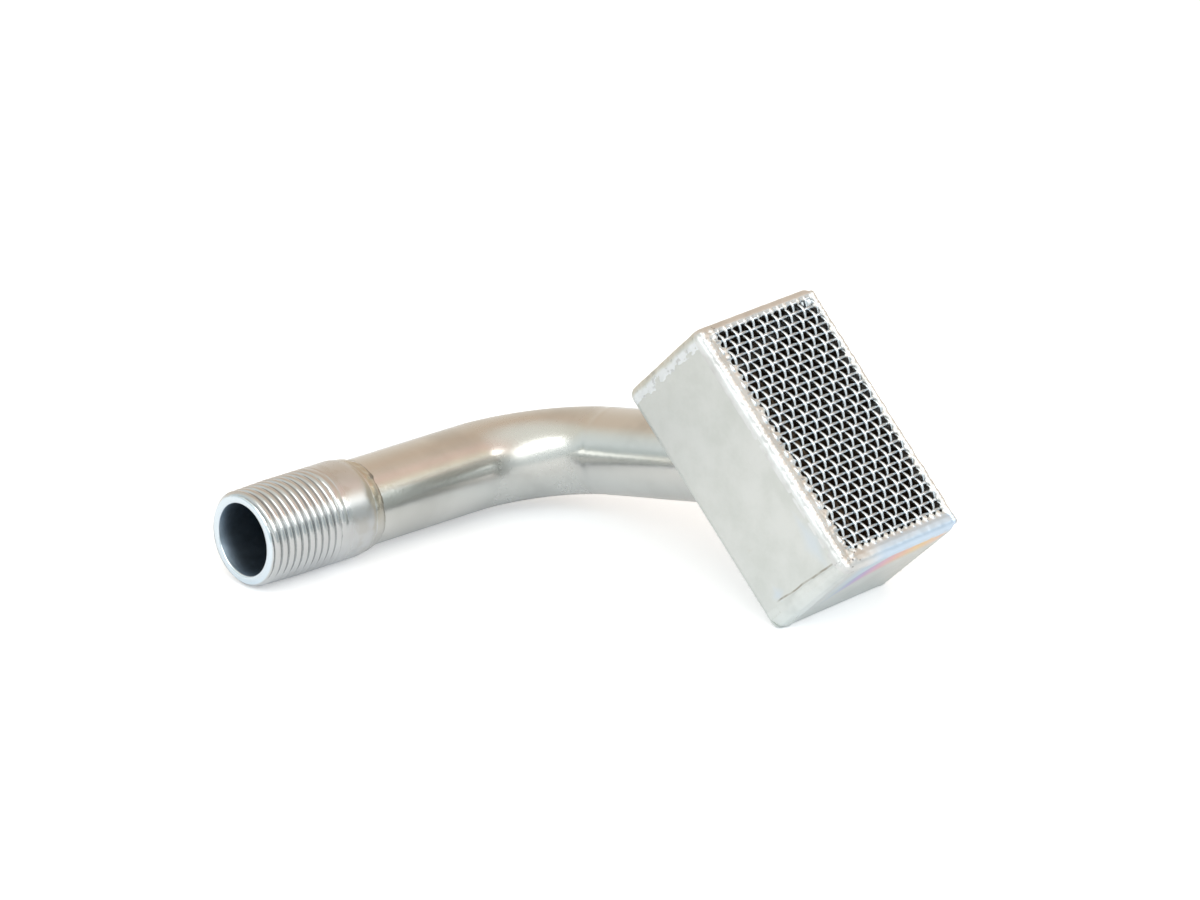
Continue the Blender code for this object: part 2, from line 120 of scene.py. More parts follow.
PAN_YAW = math.atan2(SECOND_DIRECTION.x, -SECOND_DIRECTION.y)
PAN_TURN = Matrix.Rotation(PAN_YAW, 4, "Z") @ Matrix.Rotation(PAN_TILT, 4, "X")
PAN_CENTRE = TUBE_ENTRY - PAN_TURN @ Vector((0, TUBE_ENTRY_OFFSET, BACK_Z))
PAN_PLACE = Matrix.Translation(PAN_CENTRE) @ PAN_TURN
ACROSS, UPHILL, OUTWARD = (PAN_TURN.to_3x3() @ Vector(axis) for axis in ((1, 0, 0), (0, 1, 0), (0, 0, 1)))
CORNERS = [(side, end) for end in (1, -1) for side in (-1, 1)]

weld_low, weld_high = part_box("screen_weld")
weld_middle = PAN_CENTRE + OUTWARD * (PAN_DEPTH / 2 - HALF_BEAD)
print("pan centre", [round(v / MM, 2) for v in PAN_CENTRE],
      "off by", round(((weld_low + weld_high) / 2 - weld_middle).length / MM, 3), "mm")

# %% [markdown]
# The camera stands where the photograph was taken from: a long lens, a little over a metre away, looking down
# at about 23 degrees. It leans by two degrees, because the real part rests on three points and so lies a
# little askew.

# %% Camera
LENS, SENSOR_WIDTH = 180, 36
CAMERA_OFFSET = Vector((-735.766, -887.518, 515.671)) * MM
CAMERA_ANGLES = (67.27452, -2.00374, -42.5109)


def add_object(name, data):
    """Makes an object that holds some data and puts it in the scene."""
    made = bpy.data.objects.new(name, data)
    bpy.context.scene.collection.objects.link(made)
    return made


camera_data = bpy.data.cameras.new("camera")
camera_data.lens = LENS
camera_data.sensor_width = SENSOR_WIDTH
camera_data.sensor_fit = "HORIZONTAL"
camera = add_object("camera", camera_data)
camera.location = FLOOR_MARK + CAMERA_OFFSET
camera.rotation_euler = [math.radians(angle) for angle in CAMERA_ANGLES]
bpy.context.scene.camera = camera
bpy.context.scene.view_settings.view_transform = "Standard"
print("camera", [round(v, 3) for v in camera.location])

# %% [markdown]
# Shader maths. A material is a graph of nodes, and arithmetic in it is a row of Math nodes. The class Signal
# wraps a node's output and gives it +, -, * and /, so that a pattern can be written as a sum.

# %% Signals
class Signal:
    def __init__(self, finish, socket):
        self.finish, self.socket = finish, socket

    def maths(self, operation, *values):
        return self.finish.node("ShaderNodeMath", {"operation": operation}, values)

    def __add__(self, other):
        return self.maths("ADD", self, other)

    def __sub__(self, other):
        return self.maths("SUBTRACT", self, other)

    def __rsub__(self, other):
        return self.maths("SUBTRACT", other, self)

    def __mul__(self, other):
        return self.maths("MULTIPLY", self, other)

    def __truediv__(self, other):
        return self.maths("DIVIDE", self, other)

    def __rtruediv__(self, other):
        return self.maths("DIVIDE", other, self)

    def __abs__(self):
        return self.maths("ABSOLUTE", self)

    __radd__, __rmul__ = __add__, __mul__

    def at_least(self, lowest):
        return self.maths("MAXIMUM", self, lowest)

    def swing(self, width):
        """A noise, whose middle is 0.5, as a sway of a given width about zero."""
        return (self - 0.5) * width

    def spread(self, low, high):
        """A value between 0 and 1, stretched to lie between low and high."""
        return self * (high - low) + low


# %% [markdown]
# The class Finish holds one material. Its method node() adds any other node from its type, its settings and
# its sockets. Marks on metal are made by stain(), which mixes one more colour into the base colour, as far
# as a mask between 0 and 1 says.

# %% Finishes
class Finish:
    def __init__(self, name, colour=(0.8, 0.8, 0.8), roughness=0.5, metallic=0.0, owner=None):
        self.material = owner or bpy.data.materials.new(name)
        self.material.use_nodes = True
        self.tree = self.material.node_tree
        if not owner:
            self.material.diffuse_color = (*colour, 1)
            self.shader = self.tree.nodes["Principled BSDF"]
            self.set("Base Color", (*colour, 1))
            self.set("Roughness", roughness)
            self.set("Metallic", metallic)

    def node(self, kind, settings=None, sockets=(), output=0):
        made = self.tree.nodes.new(kind)
        for key, value in (settings or {}).items():
            if key == "stops":
                ramp = made.color_ramp.elements
                while len(ramp) < len(value):
                    ramp.new(1)
                for element, (place, colour) in zip(ramp, value):
                    element.position, element.color = place, (*colour, 1)
            else:
                setattr(made, key, value)
        for key, value in sockets.items() if isinstance(sockets, dict) else enumerate(sockets):
            self.join(made.inputs[key], value)
        return Signal(self, made.outputs[output])

    def join(self, socket, value):
        if isinstance(value, Signal):
            self.tree.links.new(value.socket, socket)
        else:
            socket.default_value = value

    def set(self, socket, value):
        self.join(self.shader.inputs[socket], value)

    def fed_by(self, socket):
        """What feeds a socket of the shader so far."""
        return Signal(self, self.shader.inputs[socket].links[0].from_socket)

    def place(self):
        return self.node("ShaderNodeTexCoord", output=3)

    def noise(self, vector, scale, detail=2.0, rough=0.5):
        sockets = {"Vector": vector, "Scale": scale, "Detail": detail, "Roughness": rough}
        return self.node("ShaderNodeTexNoise", sockets=sockets)

    def along(self, vector, direction, origin):
        """How far a point lies from an origin along a direction, in metres."""
        dot = self.node("ShaderNodeVectorMath", {"operation": "DOT_PRODUCT"}, [vector, direction], output=1)
        return dot - Vector(direction).dot(Vector(origin))

    def ramp(self, value, stops):
        return self.node("ShaderNodeValToRGB", {"stops": stops}, [value])

    def step(self, value, low, high):
        """Rises smoothly from 0 at low to 1 at high."""
        settings = {"interpolation_type": "SMOOTHSTEP"}
        return self.node("ShaderNodeMapRange", settings, [value, low, high, 0.0, 1.0])

    def mix(self, factor, first, second):
        sockets = {0: factor, 6: first, 7: second}
        return self.node("ShaderNodeMix", {"data_type": "RGBA"}, sockets, output=2)

    def stain(self, mask, colour, strength=1.0):
        self.set("Base Color", self.mix(mask * strength, self.fed_by("Base Color"), colour))

    def bump(self, height, distance):
        sockets = {"Strength": 1.0, "Distance": distance, "Height": height}
        return self.node("ShaderNodeBump", sockets=sockets)


def rgb(red, green, blue):
    return (red, green, blue, 1.0)


# %% [markdown]
# Bright zinc plate is a thin, cold-white metal skin that copies the shine of what is under it. Turned and
# drawn steel is smooth, so it reflects the room in soft bands. Two patterns keep it from looking like chrome:
# broad clouds of slightly duller plate, and a fine grain that breaks the edge of each reflection.

# %% Zinc on turned and drawn steel
METAL = 1.0


def zinc(name, colour, dull, roughness, grain_depth):
    finish = Finish(name, colour, roughness, METAL)
    place = finish.place()
    clouds = finish.noise(place, scale=70.0, detail=3.0, rough=0.6)
    grain = finish.noise(place, scale=1500.0, detail=2.0, rough=0.6)
    finish.set("Base Color", finish.mix(finish.step(clouds, 0.35, 0.75), rgb(*colour), rgb(*dull)))
    finish.set("Roughness", roughness + clouds.swing(0.10) + grain.swing(0.08))
    finish.set("Normal", finish.bump(grain, grain_depth))
    return finish


tube_zinc = zinc("tube_zinc", (0.65, 0.66, 0.645), (0.56, 0.57, 0.555), 0.20, 0.022 * MM)
nipple_zinc = zinc("nipple_zinc", (0.62, 0.64, 0.65), (0.54, 0.55, 0.56), 0.19, 0.012 * MM)
print("finishes:", tube_zinc.material.name, nipple_zinc.material.name)

# %% [markdown]
# Marks on the nipple. Its faced end is a bright ring, and its pale blue is a painted reflection of the floor.
# The plain collar has been handled and stained, so it is a little duller than the thread. Where it meets the
# weld it turns olive, more on the upper side: partly heat tint and partly a painted dark reflection. Each mark
# is a mask that starts from the distance along the nipple's axis.

# %% Marks on the nipple
END_RING_REFLECTION_COLOUR = rgb(0.78, 0.88, 0.96)
COLLAR_STAIN = rgb(0.46, 0.44, 0.39)
COLLAR_OLIVE_AND_REFLECTION = rgb(0.50, 0.47, 0.385)
COLLAR_DULLNESS = 0.11

place = nipple_zinc.place()
from_end = nipple_zinc.along(place, ALONG, END_FACE)
above_axis = nipple_zinc.step(nipple_zinc.along(place, UPRIGHT, END_FACE), -4 * MM, 5 * MM)
marks = nipple_zinc.noise(place, scale=260.0, detail=3.0)
end_ring = nipple_zinc.step(from_end, 0.5 * MM, 0.1 * MM)
collar = nipple_zinc.step(from_end, 20.5 * MM, 22.5 * MM)
olive_edge = from_end + marks.swing(3 * MM)
heat = nipple_zinc.step(olive_edge, NIPPLE_LENGTH - 1.8 * MM, NIPPLE_LENGTH - 0.7 * MM)
# The faced end is a bright ring, and its pale blue is a painted reflection of the floor.
nipple_zinc.stain(end_ring, END_RING_REFLECTION_COLOUR)
nipple_zinc.stain(collar * nipple_zinc.step(marks, 0.46, 0.64), COLLAR_STAIN, strength=0.35)
# Olive near the weld: partly heat tint, partly a painted dark reflection, stronger on the upper side.
nipple_zinc.stain(heat * above_axis.spread(0.2, 0.8), COLLAR_OLIVE_AND_REFLECTION)
nipple_zinc.set("Roughness", nipple_zinc.fed_by("Roughness") + collar * COLLAR_DULLNESS)
print("nipple: end ring, collar stains and heat")

# %% [markdown]
# Bending has stretched the tube's skin, so the plate on the bend is a little rougher than on the legs. The
# bore of the nipple and the inside of the tube get little plate, and their dark, cloudy colour is partly
# painted shade.

# %% The bend and the bore
BEND_DULLNESS = 0.09

place = tube_zinc.place()
bend_starts = tube_zinc.step(tube_zinc.along(place, ALONG, BEND_START), -1 * MM, 3 * MM)
bend_ends = tube_zinc.step(tube_zinc.along(place, SECOND_DIRECTION, BEND_END), -1 * MM, -4 * MM)
tube_zinc.set("Roughness", tube_zinc.fed_by("Roughness") + bend_starts * bend_ends * BEND_DULLNESS)

# The bore's dark colour is partly thin plate and partly painted shade.
shaded_bore = Finish("shaded_bore", (0.24, 0.30, 0.36), 0.42, METAL)
bore_clouds = shaded_bore.noise(shaded_bore.place(), scale=350.0, detail=4.0)
shaded_bore.set("Base Color", shaded_bore.mix(bore_clouds, rgb(0.17, 0.22, 0.28), rgb(0.36, 0.44, 0.52)))
print("finish:", shaded_bore.material.name)

# %% [markdown]
# The strainer's sheet has a satin plate: smooth, but with faint blotches, and it shows no clear reflection.
# Its marks are placed by three distances from the pan's centre: across, uphill and outward. One slow noise,
# wander, is added to them, so that no mark has a straight edge.

# %% Satin plate on the folded sheet
SHEET_ROUGHNESS = 0.40
LIGHT_PLATE, DARK_PLATE = rgb(0.725, 0.75, 0.74), rgb(0.65, 0.68, 0.66)

sheet_zinc = Finish("sheet_zinc", (0.68, 0.70, 0.66), SHEET_ROUGHNESS, METAL)
place = sheet_zinc.place()
blotches = sheet_zinc.noise(place, scale=110.0, detail=4.0, rough=0.65)
specks = sheet_zinc.noise(place, scale=900.0, detail=2.0, rough=0.6)
sheet_zinc.set("Base Color", sheet_zinc.mix(sheet_zinc.step(blotches, 0.3, 0.75), LIGHT_PLATE, DARK_PLATE))
sheet_zinc.set("Roughness", SHEET_ROUGHNESS + blotches.swing(0.10))
sheet_zinc.set("Normal", sheet_zinc.bump(blotches * 0.7 + specks * 0.3, 0.04 * MM))

across = sheet_zinc.along(place, ACROSS, PAN_CENTRE)
uphill = sheet_zinc.along(place, UPHILL, PAN_CENTRE)
outward = sheet_zinc.along(place, OUTWARD, PAN_CENTRE)
wander = sheet_zinc.noise(place, scale=160.0, detail=2.0).swing(2.4 * MM)
from_left = across + PAN_WIDTH / 2
below_rim = RIM_Z - outward
print("finish:", sheet_zinc.material.name)

# %% [markdown]
# The heat of the weld has left an oxide film on the lower wall. Its thickness changes with the heat, and so
# its colour runs through blue, violet, pink and orange to straw. The film's upper edge falls in a curve from
# the left: a constant divided by the distance from the left wall. Above it the plate is a cold blue, and so
# are a spot low on the left wall and a streak beside the bead.

# %% Heat film on the lower wall
FILM_CURVE, FILM_RISE = 1.15e-4, 5.8 * MM
FILM_COLOURS = [
    (0.22, (0.42, 0.58, 0.76)), (0.31, (0.58, 0.46, 0.74)), (0.42, (0.78, 0.48, 0.62)),
    (0.56, (0.86, 0.54, 0.44)), (0.72, (0.90, 0.66, 0.34)), (0.92, (0.84, 0.60, 0.50)),
]
ABOVE_FILM_COLOUR = rgb(0.58, 0.75, 0.92)
BLUE_SPOT_COLOUR = rgb(0.62, 0.74, 0.88)

lower_wall = sheet_zinc.step(uphill, -PAN_LENGTH / 2 + 1.2 * MM, -PAN_LENGTH / 2 + 0.3 * MM)
film_top = FILM_CURVE / from_left.at_least(6 * MM) - FILM_RISE
past_film_top = below_rim - film_top + wander * 0.5
film_starts = sheet_zinc.step(past_film_top, -0.3 * MM, 0.4 * MM)
film_ends = sheet_zinc.step(past_film_top, 4.4 * MM, 9.2 * MM)
film_shows = (film_starts - film_ends) * sheet_zinc.step(from_left, 6.0 * MM, 11.0 * MM) * lower_wall
above_film = sheet_zinc.step(past_film_top, 1.0 * MM, -1.5 * MM) * lower_wall
above_film = above_film * sheet_zinc.step(from_left, 3 * MM, 10 * MM)
from_spot = abs(uphill + 24.3 * MM) + abs(outward + 6.8 * MM) + wander
from_streak = abs(uphill + 20.5 * MM) * 0.45 + abs(outward - 9.5 * MM) + wander
blue_spot = sheet_zinc.step(from_spot, 2.8 * MM, 0.0 * MM)
blue_streak = sheet_zinc.step(from_streak, 4.0 * MM, 0.4 * MM)
sheet_zinc.stain(above_film, ABOVE_FILM_COLOUR, strength=0.6)
sheet_zinc.stain(film_shows, sheet_zinc.ramp(from_left / PAN_WIDTH, FILM_COLOURS), strength=0.92)
sheet_zinc.stain(blue_spot * 0.4 + blue_streak * 0.35, BLUE_SPOT_COLOUR)
print("lower wall: oxide film in", len(FILM_COLOURS), "colours")

# %% [markdown]
# A thin brown line, painted shade, marks where the lower left seam ends on the left wall. It runs at a slight
# slant, wavers and changes in strength. Handling has left faint smudges on the whole sheet. The inside of the
# pan is painted dark as shade, with brown patches of painted reflection.

# %% Painted shade line, smudges and the shaded inside
SEAM_EDGE_SHADE = rgb(0.27, 0.24, 0.19)
SMUDGE = rgb(0.50, 0.47, 0.40)
LINE_INSET, LINE_SLANT = 3.3 * MM, 0.067

left_wall = sheet_zinc.step(across, 0.5 * MM - PAN_WIDTH / 2, 0.2 * MM - PAN_WIDTH / 2)
line_place = LINE_INSET + below_rim * LINE_SLANT + wander * 0.42
# The brown line is painted shade along the seam's edge on the wall.
seam_edge_shade = sheet_zinc.step(abs(uphill + PAN_LENGTH / 2 - line_place), 0.32 * MM, 0.04 * MM)
breaks = sheet_zinc.step(sheet_zinc.noise(place, scale=380.0, detail=3.0), 0.38, 0.60)
seam_edge_shade = seam_edge_shade * breaks.spread(0.55, 1.0)
seam_edge_shade = seam_edge_shade * left_wall * sheet_zinc.step(outward, BACK_Z + 5.4 * MM, BACK_Z + 7.4 * MM)
smudges = sheet_zinc.step(sheet_zinc.noise(place, scale=210.0, detail=5.0, rough=0.7), 0.64, 0.78)
sheet_zinc.stain(seam_edge_shade, SEAM_EDGE_SHADE, strength=0.8)
sheet_zinc.stain(smudges, SMUDGE, strength=0.3)

# The inside is painted dark as shade, with brown patches of painted reflection.
shaded_inside = Finish("shaded_inside", (0.05, 0.045, 0.04), 0.55, METAL)
shade_and_reflection_patches = shaded_inside.noise(shaded_inside.place(), scale=200.0, detail=4.0)
shaded_inside.set("Base Color", shaded_inside.mix(shade_and_reflection_patches, rgb(0.04, 0.03, 0.026), rgb(0.22, 0.155, 0.10)))
print("finish:", shaded_inside.material.name)

# %% [markdown]
# Wire and weld metal are plated too. The long wires get a brighter copy of the wire's plate, painted light,
# and the cross wires, which lie lower in the cloth, a darker copy, painted shade. A weld is rougher: it froze
# in ripples, and small beads of spatter stay beside it, so its plate glitters.

# %% Zinc on wire and weld
def wire_finish(name, colour, shade):
    finish = Finish(name, colour, 0.24, METAL)
    marks = finish.noise(finish.place(), scale=700.0)
    finish.set("Base Color", finish.mix(marks, rgb(*colour), rgb(*shade)))
    finish.set("Roughness", marks.spread(0.20, 0.32))
    return finish


def weld_finish(name, colour, shade, roughness):
    finish = Finish(name, colour, roughness, METAL)
    place = finish.place()
    ripples = finish.noise(place, scale=420.0, detail=3.0, rough=0.55)
    patches = finish.noise(place, scale=180.0)
    finish.set("Base Color", finish.mix(finish.step(patches, 0.4, 0.7), rgb(*colour), rgb(*shade)))
    finish.set("Roughness", roughness + ripples.swing(0.2))
    finish.set("Normal", finish.bump(ripples, 0.07 * MM))
    return finish


# The long wires' brighter copy is painted light and the cross wires' darker copy is painted shade.
lit_long_wire_zinc = wire_finish("lit_long_wire_zinc", (0.86, 0.92, 0.96), (0.68, 0.74, 0.80))
shaded_cross_wire_zinc = wire_finish("shaded_cross_wire_zinc", (0.65, 0.70, 0.74), (0.51, 0.55, 0.59))
weld_zinc = weld_finish("weld_zinc", (0.80, 0.82, 0.83), (0.68, 0.69, 0.69), 0.44)
seam_zinc = weld_finish("seam_zinc", (0.75, 0.78, 0.77), (0.65, 0.68, 0.67), 0.40)
nipple_weld_zinc = weld_finish("nipple_weld_zinc", (0.62, 0.64, 0.65), (0.54, 0.55, 0.56), 0.24)
print("finishes:", lit_long_wire_zinc.material.name, weld_zinc.material.name, nipple_weld_zinc.material.name)

# %% [markdown]
# Marks on the bead round the screen. Where the lumps meet the wires they are dull and a little brown. The
# slope of the lower bead is pale blue, like the wall below it. The thin strips at the upper end and on the
# right are beige grey. And at the two left corners the welder stopped, which left pits.

# %% Marks on the screen's bead
GRIME = rgb(0.56, 0.53, 0.46)
SLOPE_BLUE = rgb(0.62, 0.77, 0.94)
UPPER_STRIP_GREY = rgb(0.60, 0.58, 0.55)
RIGHT_STRIP_GREY = rgb(0.50, 0.48, 0.45)
PIT_COLOUR = rgb(0.16, 0.16, 0.17)

place = weld_zinc.place()
across = weld_zinc.along(place, ACROSS, PAN_CENTRE)
uphill = weld_zinc.along(place, UPHILL, PAN_CENTRE)
grime = weld_zinc.step(weld_zinc.noise(place, scale=380.0, detail=3.0), 0.42, 0.62)
inside_x = weld_zinc.step(across, -16.6 * MM, -15.6 * MM) * weld_zinc.step(across, 17.6 * MM, 17.0 * MM)
inside_y = weld_zinc.step(uphill, -27.0 * MM, -26.3 * MM) * weld_zinc.step(uphill, 28.6 * MM, 27.9 * MM)
blue_slope = weld_zinc.step(uphill, -26.0 * MM, -27.4 * MM) * weld_zinc.step(across, -12 * MM, -4 * MM)
pits = weld_zinc.step(weld_zinc.noise(place, scale=1500.0, detail=1.0), 0.63, 0.70)
from_left_corners = abs(abs(uphill) - 27.5 * MM) + abs(across + 15.0 * MM)
weld_zinc.stain(inside_x * inside_y * grime, GRIME, strength=0.35)
weld_zinc.stain(blue_slope, SLOPE_BLUE, strength=0.85)
weld_zinc.stain(weld_zinc.step(uphill, 27.8 * MM, 28.6 * MM), UPPER_STRIP_GREY, strength=0.5)
weld_zinc.stain(weld_zinc.step(across, 17.1 * MM, 17.7 * MM), RIGHT_STRIP_GREY, strength=0.7)
weld_zinc.stain(pits * weld_zinc.step(from_left_corners, 4.5 * MM, 2.5 * MM), PIT_COLOUR)
print("bead: grime, blue slope, grey strips and pits")

# %% [markdown]
# Marks on the corner seams. The upper seams are a pale, bluish band on the side wall, with a few dark pocks,
# and they turn beige towards the edge. The band's sides wander, because the weld flowed there.

# %% Marks on the corner seams
BAND_COLOUR = rgb(0.84, 0.88, 0.92)
EDGE_BEIGE = rgb(0.60, 0.58, 0.50)
POCK_COLOUR = rgb(0.42, 0.43, 0.43)

place = seam_zinc.place()
uphill = seam_zinc.along(place, UPHILL, PAN_CENTRE)
wavy_uphill = uphill + seam_zinc.noise(place, scale=300.0).swing(2 * MM)
band_starts = seam_zinc.step(wavy_uphill, 25.4 * MM, 26.0 * MM)
band_ends = seam_zinc.step(wavy_uphill, 27.8 * MM, 28.5 * MM)
pocks = seam_zinc.step(seam_zinc.noise(place, scale=800.0), 0.60, 0.68)
upper_seams = seam_zinc.step(uphill, 25.0 * MM, 26.0 * MM)
seam_zinc.stain(band_starts - band_ends, BAND_COLOUR, strength=0.8)
seam_zinc.stain(seam_zinc.step(wavy_uphill, 28.0 * MM, 29.2 * MM), EDGE_BEIGE, strength=0.6)
seam_zinc.stain(pocks * upper_seams, POCK_COLOUR, strength=0.45)
print("seams: pale band, beige edge and pocks")

# %% [markdown]
# Marks on the nipple's weld. The whole bead is olive, more on its upper side: partly heat tint and partly a
# painted dark reflection. A dark line where the bead runs out on the tube is painted shade in that crease, and
# one dark spot is where the welder closed the ring.

# %% Marks on the nipple's weld
OLIVE_TINT_AND_REFLECTION = rgb(0.52, 0.485, 0.40)
TOE_SHADE_COLOUR = rgb(0.20, 0.18, 0.14)
SPOT_COLOUR = rgb(0.16, 0.15, 0.14)
SPOT_ANGLE = math.radians(58)
SPOT_PAST_NIPPLE = 2.2 * MM

place = nipple_weld_zinc.place()
past_nipple = nipple_weld_zinc.along(place, ALONG, END_FACE + ALONG * NIPPLE_LENGTH)
wavy_edge = past_nipple + nipple_weld_zinc.noise(place, scale=300.0).swing(MM)
above_axis = nipple_weld_zinc.step(nipple_weld_zinc.along(place, UPRIGHT, END_FACE), -4 * MM, 5 * MM)
# The bead's olive is partly heat tint and partly a painted dark reflection, stronger on the upper side.
olive = nipple_weld_zinc.step(wavy_edge, -0.3 * MM, 0.5 * MM) * above_axis.spread(0.3, 0.9)
# The dark line at the bead's toe is painted shade in the crease between bead and tube.
toe_shade = nipple_weld_zinc.step(abs(wavy_edge - 2.5 * MM), 0.45 * MM, 0.1 * MM)
dark_spot = END_FACE + ALONG * (NIPPLE_LENGTH + SPOT_PAST_NIPPLE)
dark_spot += Vector((0, -math.cos(SPOT_ANGLE), math.sin(SPOT_ANGLE))) * TUBE_RADIUS
away = nipple_weld_zinc.node("ShaderNodeVectorMath", {"operation": "DISTANCE"}, [place, dark_spot], output=1)
nipple_weld_zinc.stain(olive, OLIVE_TINT_AND_REFLECTION)
nipple_weld_zinc.stain(toe_shade * olive, TOE_SHADE_COLOUR, strength=0.7)
nipple_weld_zinc.stain(nipple_weld_zinc.step(away, 1.0 * MM, 0.5 * MM), SPOT_COLOUR, strength=0.7)
print("nipple weld: olive band, dark toe and spot")

# %% [markdown]
# finish_piece() makes each mesh an object that rides on the part's one body, gives it its finishes and hides
# the solid it stands for. An angle above its crease shows as a sharp edge, and a crease of 0 keeps the whole
# skin smooth.

# %% Helpers for every piece
def mesh_of(shape, name):
    """Turns a bmesh into a mesh and frees it."""
    mesh = bpy.data.meshes.new(name)
    shape.to_mesh(mesh)
    shape.free()
    return mesh


def finish_piece(name, source, finishes, slot, *nodes, crease=40):
    mesh = mesh_of(source, name) if isinstance(source, bmesh.types.BMesh) else source
    mesh.name = name
    places = [face.material_index for face in mesh.polygons]
    mesh.materials.clear()
    for finish in finishes:
        mesh.materials.append(finish.material)
    mesh.polygons.foreach_set("material_index", places)
    mesh.shade_smooth()
    if crease:
        mesh.set_sharp_from_angle(angle=math.radians(crease))
    piece = add_object(name, mesh)
    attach(piece, "root")
    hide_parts(*nodes)
    print(name, "faces:", len(mesh.polygons))
    return piece


def evaluated_mesh(mesh, modifiers):
    """Applies modifiers, given as (type, settings), to a mesh and returns the new mesh."""
    holder = add_object("holder", mesh)
    for kind, settings in modifiers:
        modifier = holder.modifiers.new(kind.lower(), kind)
        for key, value in settings.items():
            setattr(modifier, key, value)
    bpy.context.view_layer.update()
    depsgraph = bpy.context.evaluated_depsgraph_get()
    made = bpy.data.meshes.new_from_object(holder.evaluated_get(depsgraph))
    bpy.data.objects.remove(holder, do_unlink=True)
    return made


print("helpers for every piece ready")

# %% [markdown]
# Weld metal is lumpy. A bead could be a swept curve, but that gives no lumps. So many overlapping balls are
# fused into one skin by a voxel Remesh, smoothed, and roughened a little by noise.

# %% Helpers for weld metal
def add_lump(shape, centre, size, turn=None):
    lump = bmesh.ops.create_icosphere(shape, subdivisions=2, radius=1.0)
    place = Matrix.Translation(centre) @ (turn or Matrix.Identity(4)) @ Matrix.Diagonal((*size, 1))
    bmesh.ops.transform(shape, matrix=place, verts=lump["verts"])


def fused(lumps, voxel, rounds, roughen, scale):
    """Melts closed overlapping lumps into one skin, smooths it and roughens it a little."""
    made = evaluated_mesh(mesh_of(lumps, "lumps"), [
        ("REMESH", {"mode": "VOXEL", "voxel_size": voxel}),
        ("SMOOTH", {"factor": 0.5, "iterations": rounds}),
    ])
    normals = [vert.normal.copy() for vert in made.vertices]
    for vert, normal in zip(made.vertices, normals):
        fine = 0.2 * noise.noise(vert.co * scale * 3.1)
        vert.co += normal * roughen * (noise.noise(vert.co * scale) + fine)
    return made


print("helpers for weld metal ready")

# %% [markdown]
# Two pieces are round about the pipe's axis: the nipple and its weld. Both start as a closed outline of
# (x, radius) points, and one full spin turns it, as a lathe would.

# %% Helpers for turned pieces
ROUND_STEPS = 144
MERGE_GAP = 0.0005 * MM


def closed_outline(shape, outline):
    """Joins (x, radius) points into a closed outline and returns its edges."""
    points = [shape.verts.new((x, 0, radius)) for x, radius in outline]
    return [shape.edges.new(pair) for pair in zip(points, points[1:] + points[:1])]


def spin_once(shape):
    bmesh.ops.spin(
        shape, geom=shape.verts[:] + shape.edges[:], cent=(0, 0, 0), axis=(1, 0, 0), angle=math.tau,
        steps=ROUND_STEPS, use_merge=True,
    )
    bmesh.ops.remove_doubles(shape, verts=shape.verts, dist=MERGE_GAP)


print("a full turn has", ROUND_STEPS, "steps")

# %% [markdown]
# The thread. A tapered pipe thread is a groove cut along a helix, 14 turns to the inch, into a cone that
# widens by one in sixteen. A Screw modifier could sweep a groove, but not one that runs out at the end of the
# thread. So the surface is given as a function: the radius at each place along the axis and round it.

# %% Thread's surface
THREAD_PITCH = 25.4 / 14 * MM
THREAD_DEPTH = 1.1 * MM
FLANK_ANGLE = math.radians(30)
HALF_GROOVE = THREAD_DEPTH * math.tan(FLANK_ANGLE)
THREAD_LENGTH = 17.0 * MM
THREAD_RUNOUT = 3.8 * MM
THREADED = THREAD_LENGTH + THREAD_RUNOUT
RADIUS_TAPER = 1 / 32
CREST_POWER = 3.0
LEAD_RADIUS = PIPE_RADIUS - 0.31 * MM
LEAD_CHAMFER = 0.9 * MM


def groove_radius(x, turn):
    """The radius of the thread's surface at x along the axis and at an angle round it."""
    phase = ((x + HALF_GROOVE) / THREAD_PITCH - turn / math.tau - 0.25) % 1.0
    from_crest = abs(2 * phase - 1)
    height = 1 - from_crest ** CREST_POWER
    cone = LEAD_RADIUS + x * RADIUS_TAPER
    crest = min(PIPE_RADIUS, cone)
    run_out = min(max((x - THREAD_LENGTH) / THREAD_RUNOUT, 0.0), 1.0)
    root = cone - THREAD_DEPTH + (crest - cone + THREAD_DEPTH) * run_out
    return min(root + (crest - root) * height, LEAD_RADIUS - LEAD_CHAMFER + x)


print("thread pitch", round(THREAD_PITCH / MM, 3), "mm")

# %% [markdown]
# The nipple's outline has a chamfered lead, a plain collar that slopes down a little towards the weld, and
# the bore. It is spun into a fine grid, and each vertex of the threaded length is then moved in to the
# thread's surface.

# %% Threaded nipple
BORE_CHAMFER = 0.25 * MM
COLLAR_SLOPE, COLLAR_DROP, COLLAR_POWER = 2.2 * MM, 0.45 * MM, 1.6
SLOPE_PARTS = (0, 0.2, 0.4, 0.6, 0.8, 1)
THREAD_CUTS, PLAIN_CUTS = 260, 6

